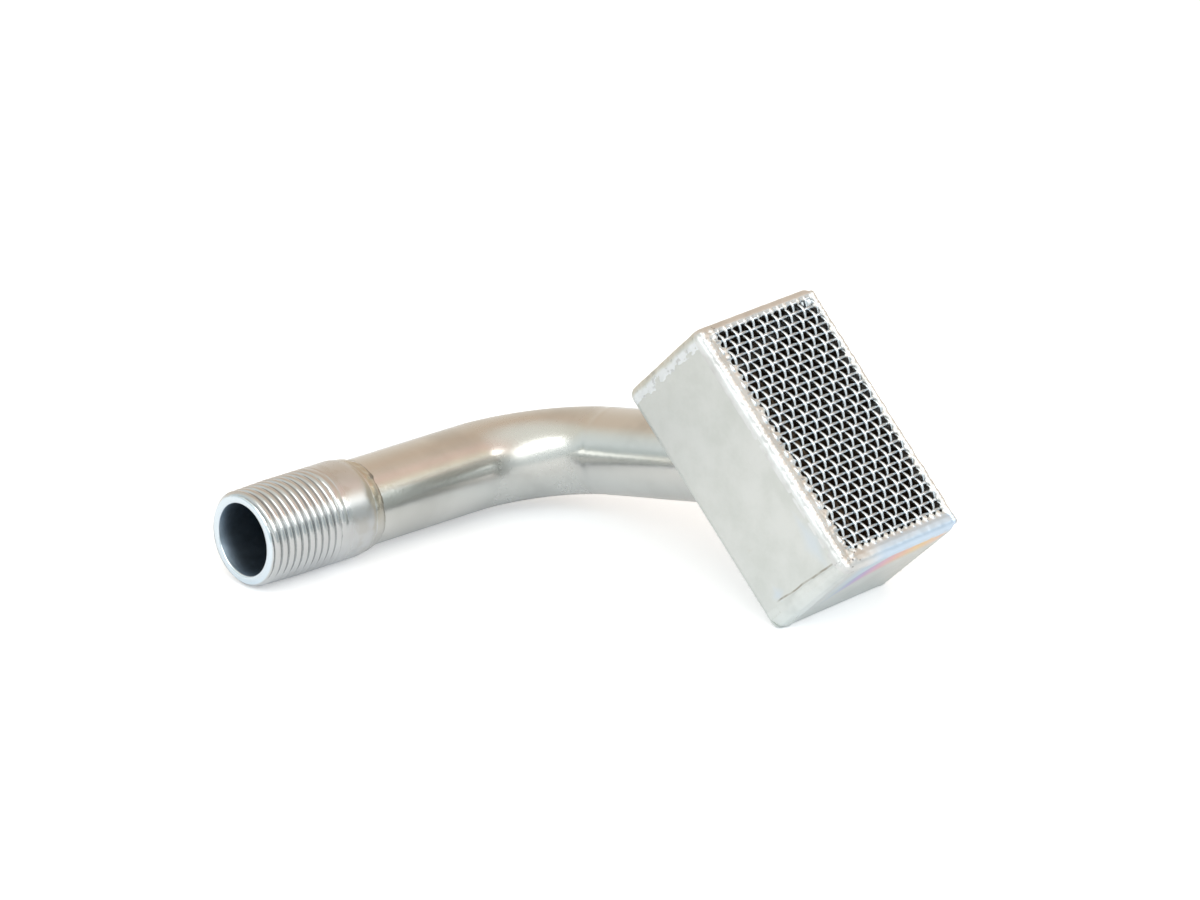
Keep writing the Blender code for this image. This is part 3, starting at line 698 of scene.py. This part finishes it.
shape = bmesh.new()
sloping_end = [
    (NIPPLE_LENGTH - COLLAR_SLOPE * (1 - part), PIPE_RADIUS - COLLAR_DROP * part ** COLLAR_POWER)
    for part in SLOPE_PARTS
]
edges = closed_outline(shape, [
    (0, NIPPLE_BORE_RADIUS + BORE_CHAMFER), (0, LEAD_RADIUS - LEAD_CHAMFER),
    (THREADED + 0.1 * MM, PIPE_RADIUS), *sloping_end,
    (NIPPLE_LENGTH, NIPPLE_BORE_RADIUS), (BORE_CHAMFER, NIPPLE_BORE_RADIUS),
])
bmesh.ops.subdivide_edges(shape, edges=[edges[1]], cuts=THREAD_CUTS)
bmesh.ops.subdivide_edges(shape, edges=[edges[2], edges[-2]], cuts=PLAIN_CUTS)
spin_once(shape)
for vert in shape.verts:
    x, radius = vert.co.x, math.hypot(vert.co.y, vert.co.z)
    if radius > NIPPLE_BORE_RADIUS + 0.5 * MM and x < THREADED:
        wanted = groove_radius(x, math.atan2(vert.co.z, vert.co.y)) / radius
        vert.co.y, vert.co.z = vert.co.y * wanted, vert.co.z * wanted
bmesh.ops.recalc_face_normals(shape, faces=shape.faces)
for face in shape.faces:
    middle = face.calc_center_median()
    inside = math.hypot(middle.y, middle.z) < NIPPLE_BORE_RADIUS + 0.02 * MM
    face.material_index = 1 if inside else 0
bmesh.ops.translate(shape, vec=END_FACE, verts=shape.verts)
finish_piece("pipe_nipple", shape, [nipple_zinc, shaded_bore], "nipple_steel", "threaded_nipple", crease=60)

# %% [markdown]
# The bent tube starts as one ring of 96 edges. Extruding gives the straight legs and a spin gives the bend,
# just as a bending machine turns the tube round its former. A plane cuts its end parallel to the strainer's
# back. Where the former let go, at the end of the bend, the tube has a faint ridge.

# %% Bent tube: its path
TUBE_EDGES, LEG_STEPS, BEND_STEPS = 96, 24, 72
UNDER_NIPPLE = 0.2 * MM
FINE_RUN = 9 * MM
END_ABOVE_BACK = 2.5 * MM

shape = bmesh.new()
ring = bmesh.ops.create_circle(shape, cap_ends=False, segments=TUBE_EDGES, radius=TUBE_RADIUS)["verts"]
tube_start = END_FACE + ALONG * (NIPPLE_LENGTH - UNDER_NIPPLE)
facing_along = Matrix.Translation(tube_start) @ Matrix.Rotation(math.pi / 2, 4, "Y")
bmesh.ops.transform(shape, matrix=facing_along, verts=ring)


def only(items, kind):
    return [item for item in items if isinstance(item, kind)]


def extrude_run(edges, direction, length):
    """Extrudes the open ring along a straight line, in equal steps, and returns its last edges."""
    for _ in range(LEG_STEPS):
        made = bmesh.ops.extrude_edge_only(shape, edges=edges)["geom"]
        edges = only(made, bmesh.types.BMEdge)
        step = direction * (length / LEG_STEPS)
        bmesh.ops.translate(shape, vec=step, verts=only(made, bmesh.types.BMVert))
    return edges


open_edges = extrude_run(shape.edges[:], ALONG, FIRST_LEG - NIPPLE_LENGTH + UNDER_NIPPLE)
bend = bmesh.ops.spin(
    shape, geom=open_edges, cent=BEND_CENTRE, axis=ALONG.cross(INWARD), angle=BEND_ANGLE, steps=BEND_STEPS,
    use_merge=False,
)
open_edges = only(bend["geom_last"], bmesh.types.BMEdge)
ring_verts = {vert for edge in open_edges for vert in edge.verts}
ring_middle = sum((vert.co for vert in ring_verts), Vector()) / len(ring_verts)
print("the bend ends", round((ring_middle - BEND_END).length / MM, 4), "mm from its place")
open_edges = extrude_run(open_edges, SECOND_DIRECTION, FINE_RUN)
extrude_run(open_edges, SECOND_DIRECTION, SECOND_LEG - FINE_RUN + 2 * TUBE_RADIUS)
bmesh.ops.bisect_plane(
    shape, geom=shape.verts[:] + shape.edges[:] + shape.faces[:],
    plane_co=PAN_CENTRE + OUTWARD * (BACK_Z + END_ABOVE_BACK), plane_no=OUTWARD, clear_outer=True,
)
bmesh.ops.remove_doubles(shape, verts=shape.verts, dist=MERGE_GAP)
bmesh.ops.recalc_face_normals(shape, faces=shape.faces)

# %% [markdown]
# The ridge at the end of the bend is a swelling and a dip along the axis, each a bell curve. The wall comes
# last, from a Solidify modifier, and its inner side takes the bore's finish.

# %% Bent tube: its ridge and its wall
RIDGE_REACH, RIDGE_HEIGHT = 6 * MM, 0.05 * MM
SWELL_AT, SWELL_WIDTH = 0.5 * MM, 0.9 * MM
DIP_AT, DIP_WIDTH = -1.6 * MM, 1.6 * MM


def bell(x, middle, width):
    return math.exp(-((x - middle) / width) ** 2)


for vert in shape.verts:
    from_bend_end = vert.co - BEND_END
    past = from_bend_end.dot(SECOND_DIRECTION)
    if abs(past) < RIDGE_REACH and from_bend_end.length < 14 * MM:
        spoke = (from_bend_end - SECOND_DIRECTION * past).normalized()
        ridge = bell(past, SWELL_AT, SWELL_WIDTH) - 0.5 * bell(past, DIP_AT, DIP_WIDTH)
        vert.co += spoke * RIDGE_HEIGHT * ridge
tube_mesh = mesh_of(shape, "bent_tube")
tube_mesh.materials.append(tube_zinc.material)
tube_mesh.materials.append(shaded_bore.material)
tube_mesh = evaluated_mesh(tube_mesh, [
    ("SOLIDIFY", {"thickness": TUBE_WALL, "offset": -1, "use_even_offset": True, "material_offset": 1}),
])
finish_piece("bent_tube", tube_mesh, [tube_zinc, shaded_bore], "tube_steel", "pickup_tube")

# %% [markdown]
# The weld between nipple and tube is a small fillet. A quarter-round outline is spun round the axis, and the
# ring is then roughened and rippled, more on the side where the welder started and stopped.

# %% Nipple weld
FILLET_STEPS, FILLET_POWER = 14, 1.35
FILLET_START, FILLET_LENGTH = -0.4 * MM, 3.6 * MM
WELD_ROOT = NIPPLE_LENGTH - 0.7 * MM
WELD_INNER = TUBE_RADIUS - 0.2 * MM
WELD_HEIGHT = PIPE_RADIUS - COLLAR_DROP + 0.03 * MM - WELD_INNER
RESTART_ANGLE, RESTART_WIDTH = math.radians(62), 0.35
RIPPLES_ROUND, RIPPLE_HEIGHT = 58, 0.03
LUMP_SCALE = 520

shape = bmesh.new()
outline = [(WELD_ROOT, WELD_INNER), (WELD_ROOT, WELD_INNER + WELD_HEIGHT)]
for step in range(FILLET_STEPS + 1):
    angle = math.pi / 2 * (1 - step / FILLET_STEPS)
    drop = 1 - (1 - math.sin(angle)) ** FILLET_POWER
    forward = FILLET_LENGTH * (1 - angle / (math.pi / 2)) + FILLET_START
    outline.append((NIPPLE_LENGTH + forward, WELD_INNER + WELD_HEIGHT * drop))
closed_outline(shape, outline)
spin_once(shape)
for vert in shape.verts:
    radius = math.hypot(vert.co.y, vert.co.z)
    if radius > WELD_INNER + 0.1 * MM:
        turn = math.atan2(vert.co.z, -vert.co.y)
        restart = math.exp(-((turn - RESTART_ANGLE) / RESTART_WIDTH) ** 2)
        low = min(max((vert.co.x - NIPPLE_LENGTH) / (1.6 * MM), 0.0), 1.0)
        lump = noise.noise(vert.co * LUMP_SCALE) * (0.10 + low * (0.10 + 0.4 * restart)) * MM
        ripple = math.sin(turn * RIPPLES_ROUND) * RIPPLE_HEIGHT * MM * low
        grow = (radius + lump + ripple) / radius
        vert.co.y, vert.co.z = vert.co.y * grow, vert.co.z * grow
bmesh.ops.recalc_face_normals(shape, faces=shape.faces)
bmesh.ops.translate(shape, vec=END_FACE, verts=shape.verts)
finish_piece("nipple_bead", shape, [nipple_weld_zinc], "weld_steel", "nipple_weld")

# %% [markdown]
# The strainer's pan and the bead's frame are both blocks with parts cut away. Booleans do the cutting,
# because every cut is a plain closed shape.

# %% Helpers for cut blocks
def block(size, centre, radius=0.0, segments=1):
    """A box with rounded edges, except round its top face."""
    made = bmesh.new()
    bmesh.ops.create_cube(made, size=1.0)
    bmesh.ops.scale(made, vec=size, verts=made.verts)
    if radius:
        chosen = [edge for edge in made.edges if min(vert.co.z for vert in edge.verts) < 0]
        bmesh.ops.bevel(
            made, geom=chosen, offset=radius, segments=segments, profile=0.5, affect="EDGES", material=-1,
        )
    bmesh.ops.translate(made, vec=centre, verts=made.verts)
    return made


def carved(solid, cutters):
    """Takes closed shapes out of another and returns the mesh that is left."""
    objects = [add_object("cutter", mesh_of(cutter, "cutter")) for cutter in cutters]
    made = evaluated_mesh(mesh_of(solid, "carved"), [
        ("BOOLEAN", {"operation": "DIFFERENCE", "object": cutter, "solver": "EXACT"}) for cutter in objects
    ])
    for cutter in objects:
        bpy.data.objects.remove(cutter, do_unlink=True)
    return made


def turned_to(direction):
    """The turn that points Z along a direction."""
    return direction.to_track_quat("Z", "Y").to_matrix().to_4x4()


print("helpers for cut blocks ready")

# %% [markdown]
# The strainer's pan is folded from one sheet, so its edges are round outside and almost sharp inside. A block
# with rounded edges has a smaller block taken out of it. Notches open the four corners for the weld, and a
# slanting round hole lets the tube in.

# %% Strainer pan
FOLD_RADIUS, INNER_FOLD_RADIUS = 2.2 * MM, 0.7 * MM
UPPER_NOTCH, LOWER_NOTCH = 1.9 * MM, 2.4 * MM
NOTCH_BOTTOM, NOTCH_TOP = BACK_Z + 1.6 * MM, 20 * MM
HOLE_RADIUS, HOLE_DEPTH = TUBE_RADIUS + 0.1 * MM, 40 * MM

height = RIM_Z - BACK_Z
middle = (RIM_Z + BACK_Z) / 2
solid = block((PAN_WIDTH, PAN_LENGTH, height), (0, 0, middle), FOLD_RADIUS, 10)
hollow_size = (PAN_WIDTH - 2 * SHEET, PAN_LENGTH - 2 * SHEET, height)
cutters = [block(hollow_size, (0, 0, middle + SHEET), INNER_FOLD_RADIUS, 5)]
for side, end in CORNERS:
    notch = UPPER_NOTCH if end > 0 else LOWER_NOTCH
    centre = (side * PAN_WIDTH / 2, end * PAN_LENGTH / 2, (NOTCH_BOTTOM + NOTCH_TOP) / 2)
    cutters.append(block((2 * notch, 2 * notch, NOTCH_TOP - NOTCH_BOTTOM), centre))
hole = bmesh.new()
bmesh.ops.create_cone(
    hole, cap_ends=True, segments=TUBE_EDGES, depth=HOLE_DEPTH, radius1=HOLE_RADIUS, radius2=HOLE_RADIUS,
)
hole_place = PAN_PLACE.inverted() @ Matrix.Translation(TUBE_ENTRY) @ turned_to(SECOND_DIRECTION)
bmesh.ops.transform(hole, matrix=hole_place, verts=hole.verts)
cutters.append(hole)
pan_mesh = carved(solid, cutters)
# Faces inside the pan take the finish that is painted dark as shade.
inner_x, inner_y = PAN_WIDTH / 2 - SHEET + 0.05 * MM, PAN_LENGTH / 2 - SHEET + 0.05 * MM
for face in pan_mesh.polygons:
    x, y, z = face.center
    face.material_index = int(abs(x) < inner_x and abs(y) < inner_y and z > BACK_Z + 0.2 * MM)
pan_mesh.transform(PAN_PLACE)
sheet_finishes = [sheet_zinc, shaded_inside]
pan = finish_piece("folded_pan", pan_mesh, sheet_finishes, "sheet_steel", "strainer_pan", crease=35)
even_shading = pan.modifiers.new("even_shading", "WEIGHTED_NORMAL")
even_shading.keep_sharp = True

# %% [markdown]
# Each corner of the pan is closed by a seam of weld from the back to the rim. A seam is a row of round lumps,
# one for each pulse of the welder's hand, fused into one skin. It is broader near the back, where the sheet's
# folds meet. The upper seams are rougher, with a row of spatter beside them on the wall.

# %% Corner seams
PULSE_STEP, PULSE_LENGTH = 0.7 * MM, 2.0 * MM
SPATTER_INSET, SPATTER_THICKNESS = 0.45 * MM, 0.52 * MM

random.seed(11)
for side, end in CORNERS:
    lumps = bmesh.new()
    upper = end > 0
    z = BACK_Z + 1.9 * MM
    while z < RIM_Z - 0.8 * MM:
        low = 1 - (z - BACK_Z) / (RIM_Z - BACK_Z)
        waver = random.uniform(-0.12, 0.12) if upper else random.uniform(-0.04, 0.04)
        reach = (2.45 + 0.5 * low ** 2 + waver) * MM if upper else (2.3 + 1.5 * low + waver) * MM
        inset = reach - (0.20 if upper else 0.25) * MM
        centre = (side * (PAN_WIDTH / 2 - inset), end * (PAN_LENGTH / 2 - inset), z)
        add_lump(lumps, centre, (reach, reach, PULSE_LENGTH))
        if upper:
            spatter_y = PAN_LENGTH / 2 - random.uniform(3.0, 3.7) * MM
            spot = (side * (PAN_WIDTH / 2 - SPATTER_INSET), spatter_y, z)
            size = (SPATTER_THICKNESS, random.uniform(0.6, 1.0) * MM, random.uniform(0.6, 1.1) * MM)
            add_lump(lumps, spot, size)
        z += PULSE_STEP
    name = ("upper" if upper else "lower") + ("_left" if side < 0 else "_right")
    seam = fused(lumps, 0.20 * MM, rounds=3, roughen=(0.10 if upper else 0.05) * MM, scale=560)
    seam.transform(PAN_PLACE)
    finish_piece("corner_seam_" + name, seam, [seam_zinc], "weld_steel", "corner_weld_" + name, crease=0)

# %% [markdown]
# The bead round the screen holds the cloth on the pan's rim. The cloth lies a little off the middle, so the
# bead is broad on the left and at the lower end, and narrow on the right and at the upper end. It starts as a
# frame with round corners and edges, and the window in it is cut with sloping sides.

# %% Screen bead: its frame
WEAVE_LEVEL = 12.75 * MM
WINDOW_X, WINDOW_Y = (-13.8 * MM, 16.8 * MM), (-25.9 * MM, 27.7 * MM)
FRAME_LOW, FRAME_TOP = 11.1 * MM, 13.5 * MM
FRAME_PROUD = 0.04 * MM
FRAME_CORNER, FRAME_EDGE = 2.3 * MM, 1.6 * MM
FLARE_LEFT, FLARE_RIGHT = -8.0 * MM, 1.2 * MM
FLARE_LOWER, FLARE_UPPER = -5.0 * MM, 2.0 * MM


def span(first, last):
    """The middle of a span and its length."""
    return (first + last) / 2, last - first


def rise_of(edge):
    return abs(edge.verts[0].co.z - edge.verts[1].co.z)


def rounded(shape, edges, radius):
    bmesh.ops.bevel(shape, geom=edges, offset=radius, segments=8, profile=0.5, affect="EDGES", material=-1)


frame_height = FRAME_TOP - FRAME_LOW
frame_size = (PAN_WIDTH + FRAME_PROUD, PAN_LENGTH + FRAME_PROUD, frame_height)
solid = block(frame_size, (0, 0, FRAME_LOW + frame_height / 2))
rounded(solid, [edge for edge in solid.edges if rise_of(edge) > MM], FRAME_CORNER)
top = FRAME_TOP - 0.01 * MM
rounded(solid, [edge for edge in solid.edges if min(vert.co.z for vert in edge.verts) > top], FRAME_EDGE)
window_x, window_width = span(*WINDOW_X)
window_y, window_length = span(*WINDOW_Y)
window = block((window_width, window_length, 10 * MM), (window_x, window_y, FRAME_TOP))
slope = block((window_width, window_length, 2 * MM), (window_x, window_y, WEAVE_LEVEL + 1.1 * MM))
for vert in slope.verts:
    if vert.co.z > FRAME_TOP:
        vert.co.x += FLARE_LEFT if vert.co.x < 0 else FLARE_RIGHT
        vert.co.y += FLARE_LOWER if vert.co.y < 0 else FLARE_UPPER
lumps = bmesh.new()
lumps.from_mesh(carved(solid, [window, slope]))
print("frame faces:", len(lumps.faces))

# %% [markdown]
# Rows of lumps on the frame are the pulses of the weld along its two long sides. A small lump sits on each
# wire's end, with spatter beside it on the broad left side, and the two left corners get a heap more.

# %% Screen bead: its lumps
WEAVE_PITCH = 25.4 / 12 * MM
WEAVE_SHIFT = 0.3 * MM
LONG_STEPS, CROSS_STEPS = range(-7, 9), range(-12, 14)
RIDGES = ((-1, 1.35, 0.95), (1, 1.05, 0.65))
RIDGE_Z = 13.1 * MM

random.seed(23)
vary = random.uniform
for side, inset, reach in RIDGES:
    y = -PAN_LENGTH / 2 + 1.4 * MM
    while y < PAN_LENGTH / 2 - 1.2 * MM:
        size = vary(0.92, 1.07)
        centre = (side * (PAN_WIDTH / 2 - (inset + vary(-0.09, 0.09)) * MM), y, RIDGE_Z)
        add_lump(lumps, centre, (reach * MM * size, vary(0.8, 1.2) * MM, 0.80 * MM * size))
        y += vary(0.7, 1.0) * MM
for step in CROSS_STEPS:
    y = WEAVE_SHIFT + step * WEAVE_PITCH
    size = vary(0.55, 0.95) * MM
    spot = (WINDOW_X[0] - 0.1 * MM, y + vary(-0.2, 0.2) * MM, WEAVE_LEVEL)
    add_lump(lumps, spot, (size * 1.3, size, size * 0.6))
    size = vary(0.55, 0.90) * MM
    add_lump(lumps, (WINDOW_X[1] + 0.3 * MM, y, WEAVE_LEVEL + 0.1 * MM), (size, size * 0.9, size * 0.8))
    for _ in range(4):
        x = WINDOW_X[0] - vary(0.3, 2.6) * MM
        spot = (x, y + vary(-1.0, 1.0) * MM, WEAVE_LEVEL + vary(0.0, 0.3) * MM)
        add_lump(lumps, spot, [vary(0.4, 0.9) * MM, vary(0.4, 0.9) * MM, vary(0.35, 0.6) * MM])
for step in LONG_STEPS:
    x = step * WEAVE_PITCH
    size = vary(0.50, 0.80) * MM
    spot = (x, WINDOW_Y[0] - vary(0.0, 0.3) * MM, WEAVE_LEVEL + 0.1 * MM)
    add_lump(lumps, spot, (size, size * 1.4, size * 0.75))
    size = vary(0.45, 0.70) * MM
    add_lump(lumps, (x, WINDOW_Y[1] + 0.2 * MM, WEAVE_LEVEL + 0.2 * MM), (size, size * 1.2, size * 0.9))
for end in (1, -1):
    for _ in range(8):
        x = -PAN_WIDTH / 2 + vary(1.6, 4.2) * MM
        spot = (x, end * (PAN_LENGTH / 2 - vary(1.6, 3.4) * MM), RIDGE_Z)
        add_lump(lumps, spot, [vary(0.5, 0.9) * MM for _ in range(3)])
bead = fused(lumps, 0.19 * MM, rounds=3, roughen=0.06 * MM, scale=520)
bead.transform(PAN_PLACE)
finish_piece("screen_bead", bead, [weld_zinc], "weld_steel", "screen_weld", crease=0)

# %% [markdown]
# The screen is a plain weave of crimped wire, about 12 wires to the inch. Every wire waves over one crossing
# wire and under the next. The long wires take most of the crimp and the cross wires stay almost straight. A
# wire is a cylinder cut into short lengths, whose rings are then shifted and tilted along a cosine.

# %% Wire screen
WIRE_RADIUS = 0.35 * MM
LONG_CRIMP, CROSS_CRIMP = 0.45 * MM, 0.16 * MM
RINGS_PER_PITCH = 8
LONG_UNDER_BEAD = 0.9 * MM
LEFT_UNDER_BEAD, RIGHT_UNDER_BEAD = 1.6 * MM, 0.6 * MM

shape = bmesh.new()
wire_mesh = bpy.data.meshes.new("one_wire")


def add_wire(first, last, crimp, sign, place, finish_index):
    """One crimped wire along Y from first to last."""
    middle, length = span(first, last)
    wire = bmesh.new()
    bmesh.ops.create_cone(
        wire, cap_ends=True, segments=8, radius1=WIRE_RADIUS, radius2=WIRE_RADIUS, depth=length,
    )
    sides = [edge for edge in wire.edges if rise_of(edge) > length / 2]
    bmesh.ops.subdivide_edges(wire, edges=sides, cuts=round(length / WEAVE_PITCH * RINGS_PER_PITCH))
    bmesh.ops.rotate(wire, cent=(0, 0, 0), matrix=Matrix.Rotation(-math.pi / 2, 3, "X"), verts=wire.verts)
    for vert in wire.verts:
        vert.co.y += middle
        wave = math.pi * vert.co.y / WEAVE_PITCH
        slope = -sign * crimp * math.pi / WEAVE_PITCH * math.sin(wave)
        vert.co.y -= slope * vert.co.z
        vert.co.z += sign * crimp * math.cos(wave)
    for face in wire.faces:
        face.material_index = finish_index
    bmesh.ops.transform(wire, matrix=place, verts=wire.verts)
    wire.to_mesh(wire_mesh)
    wire.free()
    shape.from_mesh(wire_mesh)


first, last = WINDOW_Y[0] - LONG_UNDER_BEAD, WINDOW_Y[1] + LONG_UNDER_BEAD
for step in LONG_STEPS:
    place = Matrix.Translation((step * WEAVE_PITCH, WEAVE_SHIFT, WEAVE_LEVEL))
    sign = -1 if step % 2 else 1
    add_wire(first - WEAVE_SHIFT, last - WEAVE_SHIFT, LONG_CRIMP, sign, place, finish_index=0)
quarter_turn = Matrix.Rotation(-math.pi / 2, 4, "Z")
first, last = WINDOW_X[0] - LEFT_UNDER_BEAD, WINDOW_X[1] + RIGHT_UNDER_BEAD
for step in CROSS_STEPS:
    place = Matrix.Translation((0, WEAVE_SHIFT + step * WEAVE_PITCH, WEAVE_LEVEL)) @ quarter_turn
    sign = 1 if step % 2 else -1
    add_wire(first, last, CROSS_CRIMP, sign, place, finish_index=1)
bmesh.ops.transform(shape, matrix=PAN_PLACE, verts=shape.verts)
wire_finishes = [lit_long_wire_zinc, shaded_cross_wire_zinc]
finish_piece("wire_screen", shape, wire_finishes, "wire_steel", "mesh_screen", crease=60)

# %% [markdown]
# The weld that holds the tube in the strainer's back can't be seen from the front. It is made as such welds
# are: a row of overlapping ovals round the tube, each a little on top of the one before.

# %% Tube weld
OVALS = 60
OVAL_SIZE = Vector((1.75, 1.6, 0.95)) * MM
OVAL_SLANT = 0.3

random.seed(31)
lumps = bmesh.new()
side_axis = SECOND_DIRECTION.cross(OUTWARD).normalized()
rise_axis = side_axis.cross(SECOND_DIRECTION)
ring_radius = TUBE_RADIUS + 0.9 * MM
back_plane = PAN_CENTRE + OUTWARD * (BACK_Z - 0.8 * MM)
for index in range(OVALS):
    turn = math.tau * index / OVALS
    spoke = side_axis * math.cos(turn) + rise_axis * math.sin(turn)
    centre = TUBE_ENTRY + spoke * ring_radius
    centre += SECOND_DIRECTION * ((back_plane - centre).dot(OUTWARD) / SECOND_DIRECTION.dot(OUTWARD))
    tangent = SECOND_DIRECTION.cross(spoke)
    lean = SECOND_DIRECTION * OVAL_SLANT * (1 if index % 2 else 0.8)
    size = random.uniform(0.93, 1.07)
    oval = (OVAL_SIZE.x * size, OVAL_SIZE.y * size, OVAL_SIZE.z)
    add_lump(lumps, centre, oval, turned_to(tangent + lean))
ring_weld = fused(lumps, 0.22 * MM, rounds=1, roughen=0.10 * MM, scale=500)
finish_piece("tube_bead", ring_weld, [weld_zinc], "weld_steel", "tube_weld", crease=0)

# %% [markdown]
# The floor is plain and pale. It takes the part's soft shadow. A little of its own light, shown only to the
# camera and to reflections, brings its colour up to white without putting more light on the part.

# %% Floor
FLOOR_SIZE = 3.0
FLOOR_GLOW = rgb(0.36, 0.36, 0.36)
GLOW_IN_REFLECTIONS = 0.2

floor_finish = Finish("pale_floor", (0.83, 0.86, 0.90), 0.9)
paths = floor_finish.node("ShaderNodeLightPath").socket.node.outputs
mirrored = Signal(floor_finish, paths["Is Glossy Ray"]) + Signal(floor_finish, paths["Is Transmission Ray"])
seen = Signal(floor_finish, paths["Is Camera Ray"]) + mirrored * GLOW_IN_REFLECTIONS
floor_finish.set("Emission Color", floor_finish.mix(seen, rgb(0, 0, 0), FLOOR_GLOW))
floor_finish.set("Emission Strength", 1.0)
shape = bmesh.new()
bmesh.ops.create_grid(shape, x_segments=2, y_segments=2, size=FLOOR_SIZE)
floor_mesh = mesh_of(shape, "floor")
floor_mesh.materials.append(floor_finish.material)
floor = add_object("floor", floor_mesh)
floor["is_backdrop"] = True
print("floor", FLOOR_SIZE, "m to each side")

# %% [markdown]
# Metal has little colour of its own and mostly shows the room. This room is warm above and behind, cool white
# in front, and has a grey band round its horizon. Three ramps give its colours from the floor at 0 through
# the horizon at 0.5 to overhead at 1, and they are mixed by the direction round the part.

# %% Room
OVERHEAD = (0.97, 0.95, 0.87)
LEFT_COLOURS = [
    (0.48, (0.68, 0.73, 0.72)), (0.51, (0.62, 0.69, 0.68)), (0.55, (0.67, 0.73, 0.72)),
    (0.61, (0.88, 0.94, 0.94)), (0.73, (0.90, 0.93, 0.89)), (0.81, (0.88, 0.85, 0.74)), (1.0, OVERHEAD),
]
RIGHT_COLOURS = [
    (0.50, (0.88, 0.79, 0.69)), (0.60, (0.90, 0.80, 0.70)), (0.75, (0.83, 0.70, 0.57)),
    (0.88, (0.78, 0.60, 0.46)), (1.0, OVERHEAD),
]
FRONT_COLOURS = [
    (0.49, (0.70, 0.74, 0.72)), (0.53, (0.58, 0.63, 0.64)), (0.60, (0.50, 0.55, 0.57)),
    (0.66, (0.50, 0.54, 0.56)), (0.72, (0.66, 0.70, 0.71)), (0.80, (0.97, 0.88, 0.68)),
    (0.87, (1.0, 0.72, 0.60)), (1.0, OVERHEAD),
]

world = bpy.data.worlds.new("room")
bpy.context.scene.world = world
room = Finish("room", owner=world)
direction = room.node("ShaderNodeTexCoord")
split = room.node("ShaderNodeSeparateXYZ", sockets=[direction])
height = Signal(room, split.socket.node.outputs[2]).spread(0.5, 1.0)
flat = room.node("ShaderNodeVectorMath", {"operation": "MULTIPLY"}, [direction, (1, 1, 0)])
flat = room.node("ShaderNodeVectorMath", {"operation": "NORMALIZE"}, [flat])


def towards(azimuth, low, high):
    """Rises from 0 to 1 as the cosine of the angle round from an azimuth goes from low to high."""
    turn = math.radians(azimuth)
    aim = (math.sin(turn), -math.cos(turn), 0)
    facing = room.node("ShaderNodeVectorMath", {"operation": "DOT_PRODUCT"}, [flat, aim], output=1)
    return room.step(facing, low, high)


left, right, front = (room.ramp(height, stops) for stops in (LEFT_COLOURS, RIGHT_COLOURS, FRONT_COLOURS))
colour = room.mix(towards(125, -0.05, 0.5), left, right)
colour = room.mix(towards(39, 0.55, 0.92), colour, front)
background = world.node_tree.nodes["Background"]
room.join(background.inputs["Color"], colour)
background.inputs["Strength"].default_value = 1.0
print("room: three ramps")

# %% [markdown]
# Two soft lamps. The long one hangs in front, to the left, and makes the bright band along the tube. The
# small one, to the right, lights the bend and the screen's side.

# %% Lamps
def soft_lamp(name, azimuth, elevation, distance, width, height, power):
    """A rectangular lamp that faces the part; azimuth 0 is in front of it, and 90 towards +X."""
    turn, rise = math.radians(azimuth), math.radians(elevation)
    back = Vector((math.sin(turn) * math.cos(rise), -math.cos(turn) * math.cos(rise), math.sin(rise)))
    data = bpy.data.lights.new(name, "AREA")
    data.shape, data.size, data.size_y, data.energy = "RECTANGLE", width, height, power
    lamp = add_object(name, data)
    lamp.location = back * distance
    lamp.rotation_euler = (-back).to_track_quat("-Z", "Y").to_euler()


soft_lamp("long_lamp", azimuth=-57, elevation=43, distance=1.3, width=2.2, height=0.62, power=8.6)
soft_lamp("small_lamp", azimuth=29, elevation=37, distance=1.3, width=0.46, height=0.50, power=2.3)
print("lamps ready")

# %% [markdown]
# Last, the sizes. The dressed part has to fit the box of the solids, so both boxes are written down to
# compare.

# %% Sizes and finish
low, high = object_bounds()
print("solids", [round((b - a) / MM, 2) for a, b in zip(cad_low, cad_high)],
      "dressed", [round((b - a) / MM, 2) for a, b in zip(low, high)])
